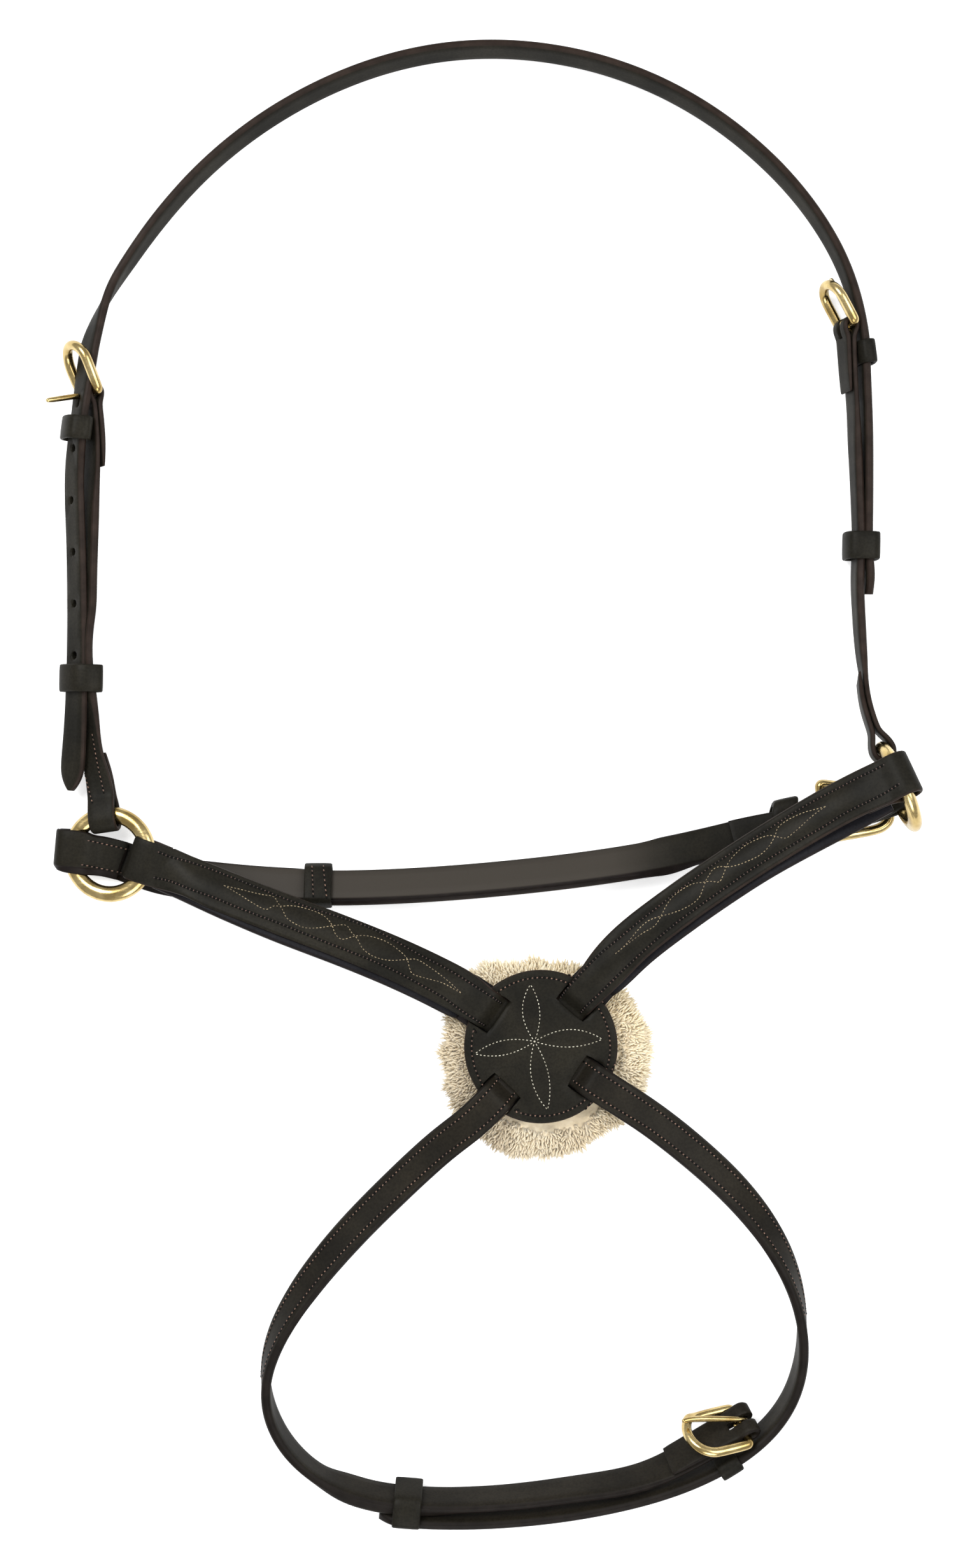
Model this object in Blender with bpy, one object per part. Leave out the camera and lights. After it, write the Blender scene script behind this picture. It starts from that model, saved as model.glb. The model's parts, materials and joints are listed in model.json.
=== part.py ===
"""A figure-eight noseband laid flat. A head strap and two cheek straps carry two rings, from which two padded
nose straps run to a leather disc on a sheepskin pad. A jaw strap joins the rings behind, and two lower straps
buckle together below the bit. Each strap is one ribbon along its own route, and its end is turned back on
itself round a ring or a buckle's bar."""

import math
from collections import namedtuple

import bmesh
import bpy
from mathutils import Matrix, Vector

MM = 0.001
UP = Vector((0, 0, 1))

# Plan and heights
SPAN = 400 * MM  # ring to ring, roughly; the routes' places are shares of it
LIFT = 10 * MM  # the routes' lifts are shares of it
GAP = 0.3 * MM  # between two layers that lie together
SLACK = 0.4 * MM  # leather round a ring or a bar
ROUTE_STEP = 10 * MM  # between two sections of a ribbon
BEND_STEP = math.radians(13)
ROUTE_OVERRUN = 30 * MM  # a cutter passes right through
HOLE_REACH = 10 * MM  # either side of a punched hole's middle

# Leather
HEAD_WIDTH = 13 * MM
HEAD_THICK = 4.0 * MM
HEAD_FOLD = 2.4 * MM  # a strap is thinner where its end is turned back on it
NOSE_WIDTH = 20.5 * MM
NOSE_THICK = 2.8 * MM
NOSE_FOLD = 2.2 * MM
NOSE_CROWN = 2.0 * MM  # how far the padding raises the middle of a nose strap
NOSE_MARGIN = 3.4 * MM  # the flat sewn margin beside the padding
NOSE_SLOT_WIDTH = 16 * MM
NOSE_EASE = 16 * MM  # length over which the padding and the width change
BACKING_WIDTH = 22.5 * MM
NOSE_BACKING_THICK = 3.2 * MM
BACKING_SHIFT = 1.6 * MM
BACKING_TUCK = 3.5 * MM  # under the disc's rim
LOWER_WIDTH = 16.5 * MM
LOWER_THICK = 4.6 * MM
LOWER_FOLD = 2.8 * MM
LOWER_SKIVED = 3.0 * MM  # where the lower straps are sewn in under the disc
JAW_WIDTH = 16 * MM
JAW_THICK = 3.2 * MM
JAW_FOLD = 2.4 * MM
EDGE_ROUND_SHARE = 0.3
FRONT_PASS_SHARE = 0.71
BACKING_UNDER_SHARE = 0.8
JAW_CROSSING_SHARE = 0.36
JAW_PASS_SHARE = 0.8
JAW_TAIL_SHARE = -0.215
TAPER_SHARE = 0.5  # the thickness at the very end of a turned end
CONVERGE_SHARE = 2.2  # length over which a turned end's two layers come together
THIN_RUN = 12 * MM  # over which a strap thins before its turned end
POINT_LENGTH = 13 * MM
CHEEK_LAP = 34 * MM
CHEEK_RING_LAP = 28 * MM
NOSE_LAP = 12 * MM
JAW_LAP = 12 * MM
JAW_CHAPE_LAP = 42 * MM
BILLET_LAP = 4 * MM
LOWER_CHAPE_LAP = 34 * MM
HOLE_RADIUS = 1.9 * MM
HOLE_PITCH = 24.5 * MM
HOLE_FIRST = 64 * MM  # from the point of the tail
HOLE_COUNT = 5

# Keepers
KEEPER_WALL = 1.8 * MM
KEEPER_CLEAR = 0.35 * MM
FIXED_KEEPER_LENGTH = 11 * MM
RUNNER_LENGTH = 13 * MM
RUNNER_TRAVEL = 12 * MM

# Straight legs and clear ways
HEAD_STRAIGHT = 8 * MM
JAW_STRAIGHT = 4 * MM
JAW_CLEAR = 20 * MM
BACKING_CLEAR = 12 * MM
LEFT_BAR_HEIGHT = 10.5 * MM
RIGHT_BAR_HEIGHT = 10 * MM
LOWER_BAR_HEIGHT = 14 * MM
LEFT_RING_LIFT = 0.4 * MM

# Rings
RING_RADIUS = 19.2 * MM
RING_WIRE = 3.0 * MM
LEFT_RING_TILT = 11
RIGHT_RING_HEADING = -67.3

# Buckles
BUCKLE_WIRE = 1.9 * MM
BUCKLE_BAR = 1.5 * MM
CHEEK_BUCKLE_SIDE = 0.6 * MM  # between the strap's edge and the frame
WIDE_BUCKLE_SIDE = 1.8 * MM
CHEEK_BUCKLE_LENGTH = 21 * MM
WIDE_BUCKLE_LENGTH = 27 * MM
FRONT_ROUND_SHARE = 0.95
TONGUE_RADIUS = 1.15 * MM
TONGUE_CLEAR = 0.25 * MM
TONGUE_OVER = 0.8 * MM  # past the front of the frame
CHAPE_SLOT = 3.3 * MM
CHAPE_SLOT_MARGIN = 1.6 * MM
FLIPPED_SLOT_MARGIN = 4.5 * MM
LEFT_FRAME_TILT = 24
LEFT_TONGUE_TILT = 95
RIGHT_FRAME_TILT = -24
LOWER_FRAME_TILT = -152
JAW_FRAME_TILT = 13
JAW_FRONT_LIFT = 1.6 * MM  # room for the jaw buckle to turn
JAW_FRAME_REACH = 11.8 * MM  # from the right ring's wire to the front of the jaw buckle
TONGUE_HOLE = 1.7 * MM
TONGUE_HOLE_LONG = 3.0 * MM
JAW_HOLE_LONG = 7.5 * MM

# Disc and pad
DISC_RADIUS = 36 * MM
DISC_THICK = 2.4 * MM
BACKING_RADIUS = DISC_RADIUS - 1.5 * MM
BACKING_THICK = 2.0 * MM
DISC_CHAMFER = 0.6 * MM
PAD_RADIUS = 49 * MM
PAD_HEIGHT = 15 * MM
SLOT_LENGTH = 10.5 * MM
SLOT_MARGIN = 1.1 * MM
SLOT_SIDE = 0.5 * MM
RIM_RUN = 7 * MM
RIM_CLEAR = 0.8 * MM
TUCK = 7 * MM

Station = namedtuple("Station", "point along across grain wide thick", defaults=(1, 1))
Control = namedtuple("Control", "point grain thick along", defaults=(1, None))
Bar = namedtuple("Bar", "centre toward grain radius ahead above below behind", defaults=(0, 0, 0, 0))
Slot = namedtuple("Slot", "x_share y_share heading")

# Routes: x and y as shares of SPAN, lift of the lower edge as a share of LIFT, and lean in degrees. A lean
# of 0 is flat with the grain up, 90 stands on edge with the grain to the left of the way along, and 180 is
# flat with the grain down.
HEAD_TAIL_ROUTE_SHARES = (
    (-0.484, -0.008, 0.25, 38),
    (-0.481, 0.020, 0.25, 40),
    (-0.479, 0.062, 0.25, 48),
    (-0.476, 0.125, 0.25, 53),
    (-0.475, 0.189, 0.25, 58),
    (-0.478, 0.287, 0.25, 60),
    (-0.480, 0.369, 0.25, 60),
)
HEAD_ARCH_ROUTE_SHARES = (
    (-0.445, 0.564, 0.30, 84),
    (-0.422, 0.609, 0.10, 98),
    (-0.388, 0.666, 0.05, 103),
    (-0.347, 0.712, 0.05, 105),
    (-0.302, 0.754, 0.05, 106),
    (-0.257, 0.792, 0.05, 107),
    (-0.188, 0.833, 0.05, 107),
    (-0.113, 0.862, 0.05, 107),
    (-0.050, 0.874, 0.05, 107),
    (0.008, 0.879, 0.05, 107),
    (0.083, 0.874, 0.05, 107),
    (0.150, 0.861, 0.05, 107),
    (0.223, 0.840, 0.05, 107),
    (0.296, 0.795, 0.05, 107),
    (0.363, 0.737, 0.05, 106),
    (0.410, 0.672, 0.05, 103),
    (0.430, 0.633, 0.10, 101),
    (0.446, 0.595, 0.25, 99),
    (0.457, 0.548, 0.25, 97),
    (0.463, 0.503, 0.25, 96),
    (0.466, 0.444, 0.25, 95),
    (0.465, 0.369, 0.25, 94),
    (0.463, 0.294, 0.25, 94),
    (0.462, 0.224, 0.25, 93),
)
LEFT_CHEEK_ROUTE_SHARES = (
    (-0.446, 0.399, 0.25, -78),
    (-0.446, 0.324, 0.25, -84),
    (-0.451, 0.249, 0.25, -84),
    (-0.453, 0.174, 0.25, -80),
    (-0.453, 0.125, 0.25, -70),
    (-0.449, 0.084, 0.25, -50),
)
RIGHT_CHEEK_ROUTE_SHARES = (
    (0.436, 0.489, 0.25, 104),
    (0.439, 0.444, 0.25, 102),
    (0.443, 0.384, 0.25, 98),
    (0.446, 0.294, 0.25, 97),
    (0.447, 0.249, 0.25, 97),
    (0.449, 0.204, 0.25, 96),
    (0.453, 0.144, 0.60, 94),
)
LEFT_NOSE_ROUTE_SHARES = (
    (-0.337, -0.111, 1.40, 19),
    (-0.274, -0.134, 1.65, 22),
    (-0.205, -0.161, 2.00, 22),
    (-0.140, -0.184, 2.20, 20),
    (-0.081, -0.208, 2.30, 16),
    (-0.026, -0.238, 2.35, 8),
)
RIGHT_NOSE_ROUTE_SHARES = (
    (0.415, -0.023, 3.70, -21),
    (0.358, -0.055, 3.35, -22),
    (0.287, -0.103, 3.00, -22),
    (0.229, -0.141, 2.70, -20),
    (0.173, -0.189, 2.45, -13),
)
LOWER_LEFT_ROUTE_SHARES = (
    (-0.045, -0.426, 1.50, -13),
    (-0.093, -0.471, 0.80, -20),
    (-0.160, -0.534, 0.20, -28),
    (-0.214, -0.601, 0.05, -42),
    (-0.247, -0.656, 0.05, -62),
    (-0.259, -0.702, 0.05, -82),
    (-0.254, -0.743, 0.05, -97),
    (-0.230, -0.787, 0.05, -108),
    (-0.187, -0.822, 0.25, -112),
    (-0.142, -0.839, 0.25, -114),
    (-0.082, -0.848, 0.25, -114),
    (0.007, -0.849, 0.25, -114),
    (0.117, -0.838, 0.25, -117),
    (0.202, -0.815, 0.30, -123),
)
LOWER_RIGHT_ROUTE_SHARES = (
    (0.207, -0.395, 1.50, 12),
    (0.255, -0.431, 0.80, 18),
    (0.299, -0.470, 0.30, 26),
    (0.338, -0.514, 0.05, 38),
    (0.367, -0.558, 0.05, 54),
    (0.383, -0.605, 0.05, 72),
    (0.388, -0.649, 0.05, 86),
    (0.386, -0.690, 0.05, 95),
    (0.374, -0.730, 0.25, 100),
    (0.348, -0.766, 0.25, 104),
    (0.306, -0.797, 0.25, 106),
    (0.254, -0.821, 0.25, 107),
    (0.202, -0.840, 0.25, 107),
    (0.117, -0.861, 0.25, 107),
    (0.007, -0.869, 0.25, 107),
    (-0.070, -0.868, 0.25, 107),
    (-0.116, -0.861, 0.25, 107),
)
JAW_ROUTE_SHARES = (
    (-0.377, -0.104, 0.06, 182),
    (-0.319, -0.113, 0.12, 187),
    (-0.263, -0.118, 0.50, 195),
    (-0.204, -0.120, 0.62, 203),
    (-0.137, -0.120, 0.62, 205),
    (-0.067, -0.117, 0.62, 205),
    (0.028, -0.109, 0.62, 205),
    (0.113, -0.100, 0.62, 205),
    (0.188, -0.089, 0.62, 203),
    (0.255, -0.077, 0.62, 198),
    (0.323, -0.059, 0.62, 190),
)

# The slots in the disc: the middle of each inner edge as shares of the disc's radius, and the way in, in
# degrees
SLOTS = {
    "left_nose": Slot(-0.56, 0.36, -35),
    "right_nose": Slot(0.37, 0.47, 229),
    "lower_left": Slot(-0.43, -0.50, 46),
    "lower_right": Slot(0.47, -0.31, 147.5),
}

# Where things lie in plan, as shares of SPAN
LEFT_RING_SHARES = (-0.434, -0.083)
RIGHT_RING_SHARES = (0.488, -0.003)
DISC_SHARES = (0.074, -0.307)
PAD_SHARES = (0.083, -0.327)
LEFT_BAR_SHARES = (-0.456, 0.461)
RIGHT_BAR_SHARES = (0.430, 0.540)
LOWER_BAR_SHARES = (0.315, -0.750)
LEFT_FIXED_KEEPER_SHARES = (-0.477, 0.419)
LEFT_RUNNER_SHARES = (-0.464, 0.125)
RIGHT_FIXED_KEEPER_SHARES = (0.463, 0.510)
RIGHT_RUNNER_SHARES = (0.455, 0.281)
JAW_FIXED_KEEPER_SHARES = (0.362, -0.050)
JAW_RUNNER_SHARES = (-0.188, -0.120)
LOWER_FIXED_KEEPER_SHARES = (0.296, -0.802)
LOWER_RUNNER_SHARES = (-0.083, -0.857)

# Outline of the pad: radius at equal steps round it, from +X, as shares of PAD_RADIUS
PAD_OUTLINE_SHARES = (
    0.99, 1.05, 0.98, 0.94, 0.96, 1.02, 1.14, 1.06,
    0.99, 1.06, 1.02, 0.97, 0.96, 0.93, 0.91, 0.98,
)
PAD_SECTION_SHARES = ((0.92, 0.0), (0.99, 0.22), (1.0, 0.5), (0.97, 0.75), (0.9, 0.94), (0.8, 1.0))


def clear_scene():
    for obj in list(bpy.data.objects):
        bpy.data.objects.remove(obj)


def material(name, colour, roughness, metallic=0.0):
    made = bpy.data.materials.new(name)
    made.use_nodes = True
    shader = made.node_tree.nodes["Principled BSDF"]
    shader.inputs["Base Color"].default_value = (*colour, 1)
    shader.inputs["Roughness"].default_value = roughness
    shader.inputs["Metallic"].default_value = metallic
    return made


def leather(name):
    return material(name, (0.034, 0.028, 0.024), 0.5)


def brass(name):
    return material(name, (0.78, 0.6, 0.3), 0.22, 1.0)


def add_object(name, mesh, placement, parent, finish):
    """Places a mesh under the layout empty with outward faces."""
    build = bmesh.new()
    build.from_mesh(mesh)
    bmesh.ops.recalc_face_normals(build, faces=build.faces)
    build.to_mesh(mesh)
    build.free()
    obj = bpy.data.objects.new(name, mesh)
    bpy.context.scene.collection.objects.link(obj)
    obj.matrix_basis = placement
    obj.parent = parent
    if finish:
        mesh.materials.append(finish)
        mesh.shade_smooth()
        mesh.set_sharp_from_angle(angle=math.radians(40))
    return obj


def lofted(name, rings, closed=False):
    """A mesh through rings of points, with flat ends, or joined end to start."""
    count = len(rings[0])
    vertices = [point for ring in rings for point in ring]
    spans = len(rings) if closed else len(rings) - 1
    faces = []
    for i in range(spans):
        here = i * count
        there = (i + 1) % len(rings) * count
        for k in range(count):
            after = (k + 1) % count
            a, b, c, d = here + k, here + after, there + after, there + k
            # The shorter diagonal, so that two twisted layers that lie together are folded alike
            if (vertices[a] - vertices[c]).length < (vertices[b] - vertices[d]).length:
                faces += [(a, b, c), (a, c, d)]
            else:
                faces += [(a, b, d), (b, c, d)]
    if not closed:
        faces.append(tuple(reversed(range(count))))
        faces.append(tuple(range(len(vertices) - count, len(vertices))))
    mesh = bpy.data.meshes.new(name)
    mesh.from_pydata(vertices, [], faces)
    return mesh


def plan_point(shares, height=0.0):
    return Vector((shares[0] * SPAN, shares[1] * SPAN, height))


def heading(degrees, pitch=0.0):
    turn = math.radians(degrees)
    rise = math.radians(pitch)
    return Vector((math.cos(turn) * math.cos(rise), math.sin(turn) * math.cos(rise), math.sin(rise)))


def leaning(along, lean):
    """The grain's direction on a strap that runs along this way and leans by this many degrees."""
    side = UP.cross(along).normalized()
    grain = UP * math.cos(math.radians(lean)) + side * math.sin(math.radians(lean))
    return (grain - along * grain.dot(along)).normalized()


def rest_height(width, thickness, lean):
    turn = math.radians(lean)
    return (width * abs(math.sin(turn)) + thickness * abs(math.cos(turn))) / 2


def station(point, along, grain, wide=1, thick=1):
    along = along.normalized()
    grain = (grain - along * grain.dot(along)).normalized()
    return Station(point, along, along.cross(grain), grain, wide, thick)


def reverse(stations):
    return [station(s.point, -s.along, s.grain, s.wide, s.thick) for s in reversed(stations)]


def controls(rows, width, thickness):
    """The route table's rows as points in space with the grain's direction."""
    plan = [plan_point(row) for row in rows]
    made = []
    for i, (_, _, lift, lean) in enumerate(rows):
        ahead = plan[min(i + 1, len(plan) - 1)] - plan[max(i - 1, 0)]
        height = lift * LIFT + rest_height(width, thickness, lean)
        made.append(Control(plan[i] + UP * height, leaning(ahead.normalized(), lean)))
    return made


def softened(points, passes=2):
    """The same controls with small kinks taken out of their way."""
    made = list(points)
    for _ in range(passes):
        before = list(made)
        for i in range(1, len(made) - 1):
            middle = (before[i - 1].point + before[i].point * 2 + before[i + 1].point) / 4
            made[i] = Control(middle, before[i].grain, before[i].thick)
    return made


def run(points, first=None, last=None):
    """Stations on a smooth curve through the controls; first and last are the directions at its ends."""
    knots = [0.0]
    for here, there in zip(points, points[1:]):
        knots.append(knots[-1] + (there.point - here.point).length)
    slopes = []
    for i in range(len(points)):
        low, high = max(i - 1, 0), min(i + 1, len(points) - 1)
        slopes.append((points[high].point - points[low].point) / (knots[high] - knots[low]))
    for i, here in enumerate(points):
        if here.along:
            slopes[i] = here.along
    if first:
        slopes[0] = first
    if last:
        slopes[-1] = last
    made = []
    for i, (here, there) in enumerate(zip(points, points[1:])):
        length = knots[i + 1] - knots[i]
        chord = there.point - here.point
        bend = chord.angle(slopes[i]) + chord.angle(slopes[i + 1])
        steps = max(1, round(length / ROUTE_STEP), round(bend / BEND_STEP))
        for k in range(steps + (i == len(points) - 2)):
            t = k / steps
            point = (
                here.point * (2 * t**3 - 3 * t**2 + 1)
                + slopes[i] * length * (t**3 - 2 * t**2 + t)
                + there.point * (3 * t**2 - 2 * t**3)
                + slopes[i + 1] * length * (t**3 - t**2)
            )
            along = (
                (there.point - here.point) * (6 * t - 6 * t**2)
                + slopes[i] * length * (3 * t**2 - 4 * t + 1)
                + slopes[i + 1] * length * (3 * t**2 - 2 * t)
            )
            grain = here.grain.lerp(there.grain, t)
            made.append(station(point, along, grain, 1, here.thick + (there.thick - here.thick) * t))
    return made


def bar_reach(bar, fold):
    """The outer and half distance of a turned end's layers, and the length over which they come together."""
    outer = bar.radius + SLACK + fold / 2
    return outer + bar.above, (fold + GAP) / 2, outer * CONVERGE_SHARE


def entry(bar, fold):
    """The control where a strap's layers lie together before the bar."""
    _, half, converge = bar_reach(bar, fold)
    back = bar.behind + converge
    return Control(bar.centre - bar.toward * back + bar.grain * half, bar.grain)


def thinned(stations, length, share):
    """Thins a strap to a share of its thickness over this length before its end."""
    made = []
    gone = 0.0
    before = stations[-1]
    for s in reversed(stations):
        gone += (before.point - s.point).length
        before = s
        thick = min(1.0, share + (1 - share) * max(0.0, gone - length) / THIN_RUN)
        made.append(station(s.point, s.along, s.grain, s.wide, min(s.thick, thick)))
    return made[::-1]


def turned_end(bar, thickness, fold, main, lap):
    """Stations round the bar and back along the main stations, which end at the bar's entry."""
    upper, half, converge = bar_reach(bar, fold)
    lower = upper - bar.above + bar.below
    round_radius = (upper + lower) / 2
    share = fold / thickness
    straight = bar.ahead + bar.behind > GAP
    made = []

    def place(s, n, along_s, along_n, grain_s, grain_n):
        point = bar.centre + bar.toward * s + bar.grain * n
        along = bar.toward * along_s + bar.grain * along_n
        made.append(station(point, along, bar.toward * grain_s + bar.grain * grain_n, 1, share))

    def leg(near, far, side):
        steps = 4
        for k in range(1, steps + 1):
            f = k / steps
            ease = f * f * (3 - 2 * f)
            slope = (far - near) * 6 * f * (1 - f) / converge
            yield -bar.behind - converge * (1 - f), side * (near + (far - near) * ease), side * slope

    for s, n, slope in leg(half, upper, 1):
        place(s, n, 1, slope, -slope, 1)
    turn_steps = 8
    for k in range(turn_steps + 1):
        if k == 0 and not straight:
            continue
        angle = math.pi / 2 - math.pi * k / turn_steps
        s = bar.ahead + round_radius * math.cos(angle)
        n = (upper - lower) / 2 + round_radius * math.sin(angle)
        place(s, n, math.sin(angle), -math.cos(angle), math.cos(angle), math.sin(angle))
    back = list(leg(half, lower, -1))
    if not straight:
        back = back[:-1]
    for s, n, slope in reversed(back):
        place(s, n, -1, -slope, slope, -1)
    gone = 0.0
    before = main[-1]
    for step in reversed(main):
        gone += (before.point - step.point).length
        before = step
        if gone > lap:
            break
        apart = (thickness * step.thick + fold) / 2 + GAP
        made.append(station(step.point - step.grain * apart, -step.along, -step.grain, step.wide, share))
    end = made[-1]
    made[-1] = station(end.point, end.along, end.grain, end.wide, share * TAPER_SHARE)
    return made


def looped(middle, thickness, fold, start=None, start_lap=0, end=None, end_lap=0, first=None, last=None):
    """The stations of a strap without its turned ends, and with them; start and end are the bars."""
    way = list(middle)
    if start:
        way.insert(0, entry(start, fold))
        first = -start.toward
    if end:
        way.append(entry(end, fold))
        last = end.toward
    main = run(way, first, last)
    if end:
        main = thinned(main, end_lap, fold / thickness)
    if start:
        main = reverse(thinned(reverse(main), start_lap, fold / thickness))
    full = main
    if start:
        full = reverse(turned_end(start, thickness, fold, reverse(main), start_lap)) + full
    if end:
        full = full + turned_end(end, thickness, fold, main, end_lap)
    return main, full


def pointed(stations):
    """Shapes the last stretch of a strap into a point."""
    made = []
    gone = 0.0
    before = stations[-1]
    for s in reversed(stations):
        gone += (before.point - s.point).length
        before = s
        if gone > POINT_LENGTH * 1.1:
            made.append(s)
    made.reverse()
    for back, wide in ((1.0, 1.0), (0.65, 0.93), (0.35, 0.72), (0.12, 0.42), (0.0, 0.14)):
        at = at_length(stations, POINT_LENGTH * back)
        made.append(station(at.point, at.along, at.grain, wide, at.thick))
    return made


def strap_section(width, thickness):
    cut = thickness * EDGE_ROUND_SHARE
    w, t = width / 2, thickness / 2
    cut = min(cut, w / 2)
    return [
        (w - cut, -t),
        (w, cut - t),
        (w, t - cut),
        (w - cut, t),
        (cut - w, t),
        (-w, t - cut),
        (-w, cut - t),
        (cut - w, -t),
    ]


def padded_section(width, thickness, crown):
    """A strap section with its middle raised between two flat sewn margins."""
    w, t = width / 2, thickness / 2
    inner = w - NOSE_MARGIN
    cut = thickness * EDGE_ROUND_SHARE
    return [
        (w - cut, -t),
        (w, cut - t),
        (w, t - cut),
        (w - cut, t),
        (inner, t),
        (inner / 2, t + crown),
        (-inner / 2, t + crown),
        (-inner, t),
        (cut - w, t),
        (-w, t - cut),
        (-w, cut - t),
        (cut - w, -t),
    ]


def ribbon(name, stations, width, thickness, parent, crowns=None):
    """A strap along the stations; crowns gives how far padding raises each of them."""
    rings = []
    for i, s in enumerate(stations):
        if crowns:
            outline = padded_section(width * s.wide, thickness * s.thick, crowns[i])
        else:
            outline = strap_section(width * s.wide, thickness * s.thick)
        rings.append([s.point + s.across * u + s.grain * v for u, v in outline])
    return add_object(name, lofted(name, rings), Matrix(), parent, leather(name))


def planar_wire(name, points, radii, normal, closed, sides):
    """A round wire along points in one plane, each with its own radius."""
    rings = []
    count = len(points)
    for i, (point, radius) in enumerate(zip(points, radii)):
        after = points[(i + 1) % count] if closed or i < count - 1 else point
        before = points[i - 1] if closed or i > 0 else point
        along = (after - before).normalized()
        side = normal.cross(along)
        ring = []
        for k in range(sides):
            angle = 2 * math.pi * k / sides
            ring.append(point + (side * math.cos(angle) + normal * math.sin(angle)) * radius)
        rings.append(ring)
    return lofted(name, rings, closed)


def prism(outline, depth):
    """Points and faces of an outline in local X and Y, standing through depth either side of Z = 0."""
    count = len(outline)
    points = [Vector((x, y, -depth)) for x, y in outline] + [Vector((x, y, depth)) for x, y in outline]
    faces = [tuple(reversed(range(count))), tuple(range(count, 2 * count))]
    for k in range(count):
        after = (k + 1) % count
        faces.append((k, after, after + count, k + count))
    return points, faces


def box_outline(x_low, x_high, y_half):
    return [(x_low, -y_half), (x_high, -y_half), (x_high, y_half), (x_low, y_half)]


def oval_outline(half_length, radius, steps=5):
    """A slot with round ends, long in X."""
    made = []
    for end in (1, -1):
        for k in range(steps + 1):
            angle = math.pi * (k / steps - 0.5)
            x = half_length - radius + radius * math.cos(angle)
            made.append((end * x, end * radius * math.sin(angle)))
    return made


def placement(origin, x_axis, z_axis):
    y_axis = z_axis.cross(x_axis)
    turn = Matrix((x_axis, y_axis, z_axis)).transposed().to_4x4()
    return Matrix.Translation(origin) @ turn


def cut(obj, name, pieces, parent):
    """Cuts prisms out of an object; each piece is an outline, a depth and a placement."""
    vertices, faces = [], []
    for outline, depth, place in pieces:
        points, sides = prism(outline, depth)
        start = len(vertices)
        vertices += [place @ point for point in points]
        faces += [tuple(start + k for k in side) for side in sides]
    mesh = bpy.data.meshes.new(name)
    mesh.from_pydata(vertices, [], faces)
    cutter = add_object(name, mesh, Matrix(), parent, None)
    cutter.hide_render = True
    cutter.display_type = "WIRE"
    boolean = obj.modifiers.new(name, "BOOLEAN")
    boolean.object = cutter
    boolean.operation = "DIFFERENCE"
    boolean.solver = "EXACT"


def at_length(stations, distance):
    """The station this far back from the end."""
    gone = 0.0
    for there, here in zip(reversed(stations), reversed(stations[:-1])):
        step = (there.point - here.point).length
        if gone + step >= distance:
            f = (distance - gone) / step
            along, grain = there.along.lerp(here.along, f), there.grain.lerp(here.grain, f)
            return station(there.point.lerp(here.point, f), along, grain, there.wide, there.thick)
        gone += step
    return stations[0]


def sag(width):
    """How far the inside of a ring falls away across a strap of this width."""
    inside = RING_RADIUS - RING_WIRE
    return inside - math.sqrt(inside**2 - (width / 2) ** 2)


def ring_bar(ring, angle, toward, grain, width):
    """The bar that a ring's wire makes at an angle; toward and grain are made square to the wire."""
    centre, first, second = ring
    turn = math.radians(angle)
    radial = first * math.cos(turn) + second * math.sin(turn)
    wire = second * math.cos(turn) - first * math.sin(turn)
    toward = (toward(radial) - wire * toward(radial).dot(wire)).normalized()
    grain = grain(radial)
    grain = (grain - wire * grain.dot(wire) - toward * grain.dot(toward)).normalized()
    inward = -radial * sag(width)
    ahead = inward.dot(toward)
    above = inward.dot(grain)
    behind = RING_WIRE - ahead if ahead < -GAP else 0.0
    at_wire = centre + radial * RING_RADIUS
    return Bar(at_wire, toward, grain, RING_WIRE, max(ahead, 0), max(above, 0), max(-above, 0), behind)


def make_ring(name, ring, parent):
    centre, first, second = ring
    around = 32
    points = []
    for k in range(around):
        angle = 2 * math.pi * k / around
        points.append(Vector((math.cos(angle), math.sin(angle), 0)) * RING_RADIUS)
    mesh = planar_wire(name, points, [RING_WIRE] * around, UP, True, 12)
    return add_object(name, mesh, placement(centre, first, first.cross(second)), parent, brass(name))


def tilted(toward, grain, degrees):
    """Forward and face directions after a turn from the strap's way towards its grain side."""
    turn = math.radians(degrees)
    forward = toward * math.cos(turn) + grain * math.sin(turn)
    return forward, grain * math.cos(turn) - toward * math.sin(turn)


def frame_mesh(name, inside, length):
    """A buckle frame in local X (to the front) and Y, with its thin bar on the Y axis."""
    half = inside / 2 + BUCKLE_WIRE
    corner = BUCKLE_WIRE * 1.15
    depth = half * FRONT_ROUND_SHARE
    side = [(Vector((0, 0, 0)), BUCKLE_BAR), (Vector((0, half - corner, 0)), BUCKLE_BAR)]
    corner_steps = 3
    for k in range(1, corner_steps + 1):
        angle = math.pi / 2 * k / corner_steps
        reach = Vector((corner * (1 - math.cos(angle)), half - corner + corner * math.sin(angle), 0))
        side.append((reach, BUCKLE_WIRE))
    front = length - depth
    front_steps = 7
    for k in range(front_steps + 1):
        angle = math.pi / 2 * (1 - k / front_steps)
        side.append((Vector((front + depth * math.cos(angle), half * math.sin(angle), 0)), BUCKLE_WIRE))
    mirrored = [(Vector((p.x, -p.y, 0)), r) for p, r in reversed(side[1:-1])]
    loop = side + mirrored
    return planar_wire(name, [p for p, _ in loop], [r for _, r in loop], UP, True, 10)


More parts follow.
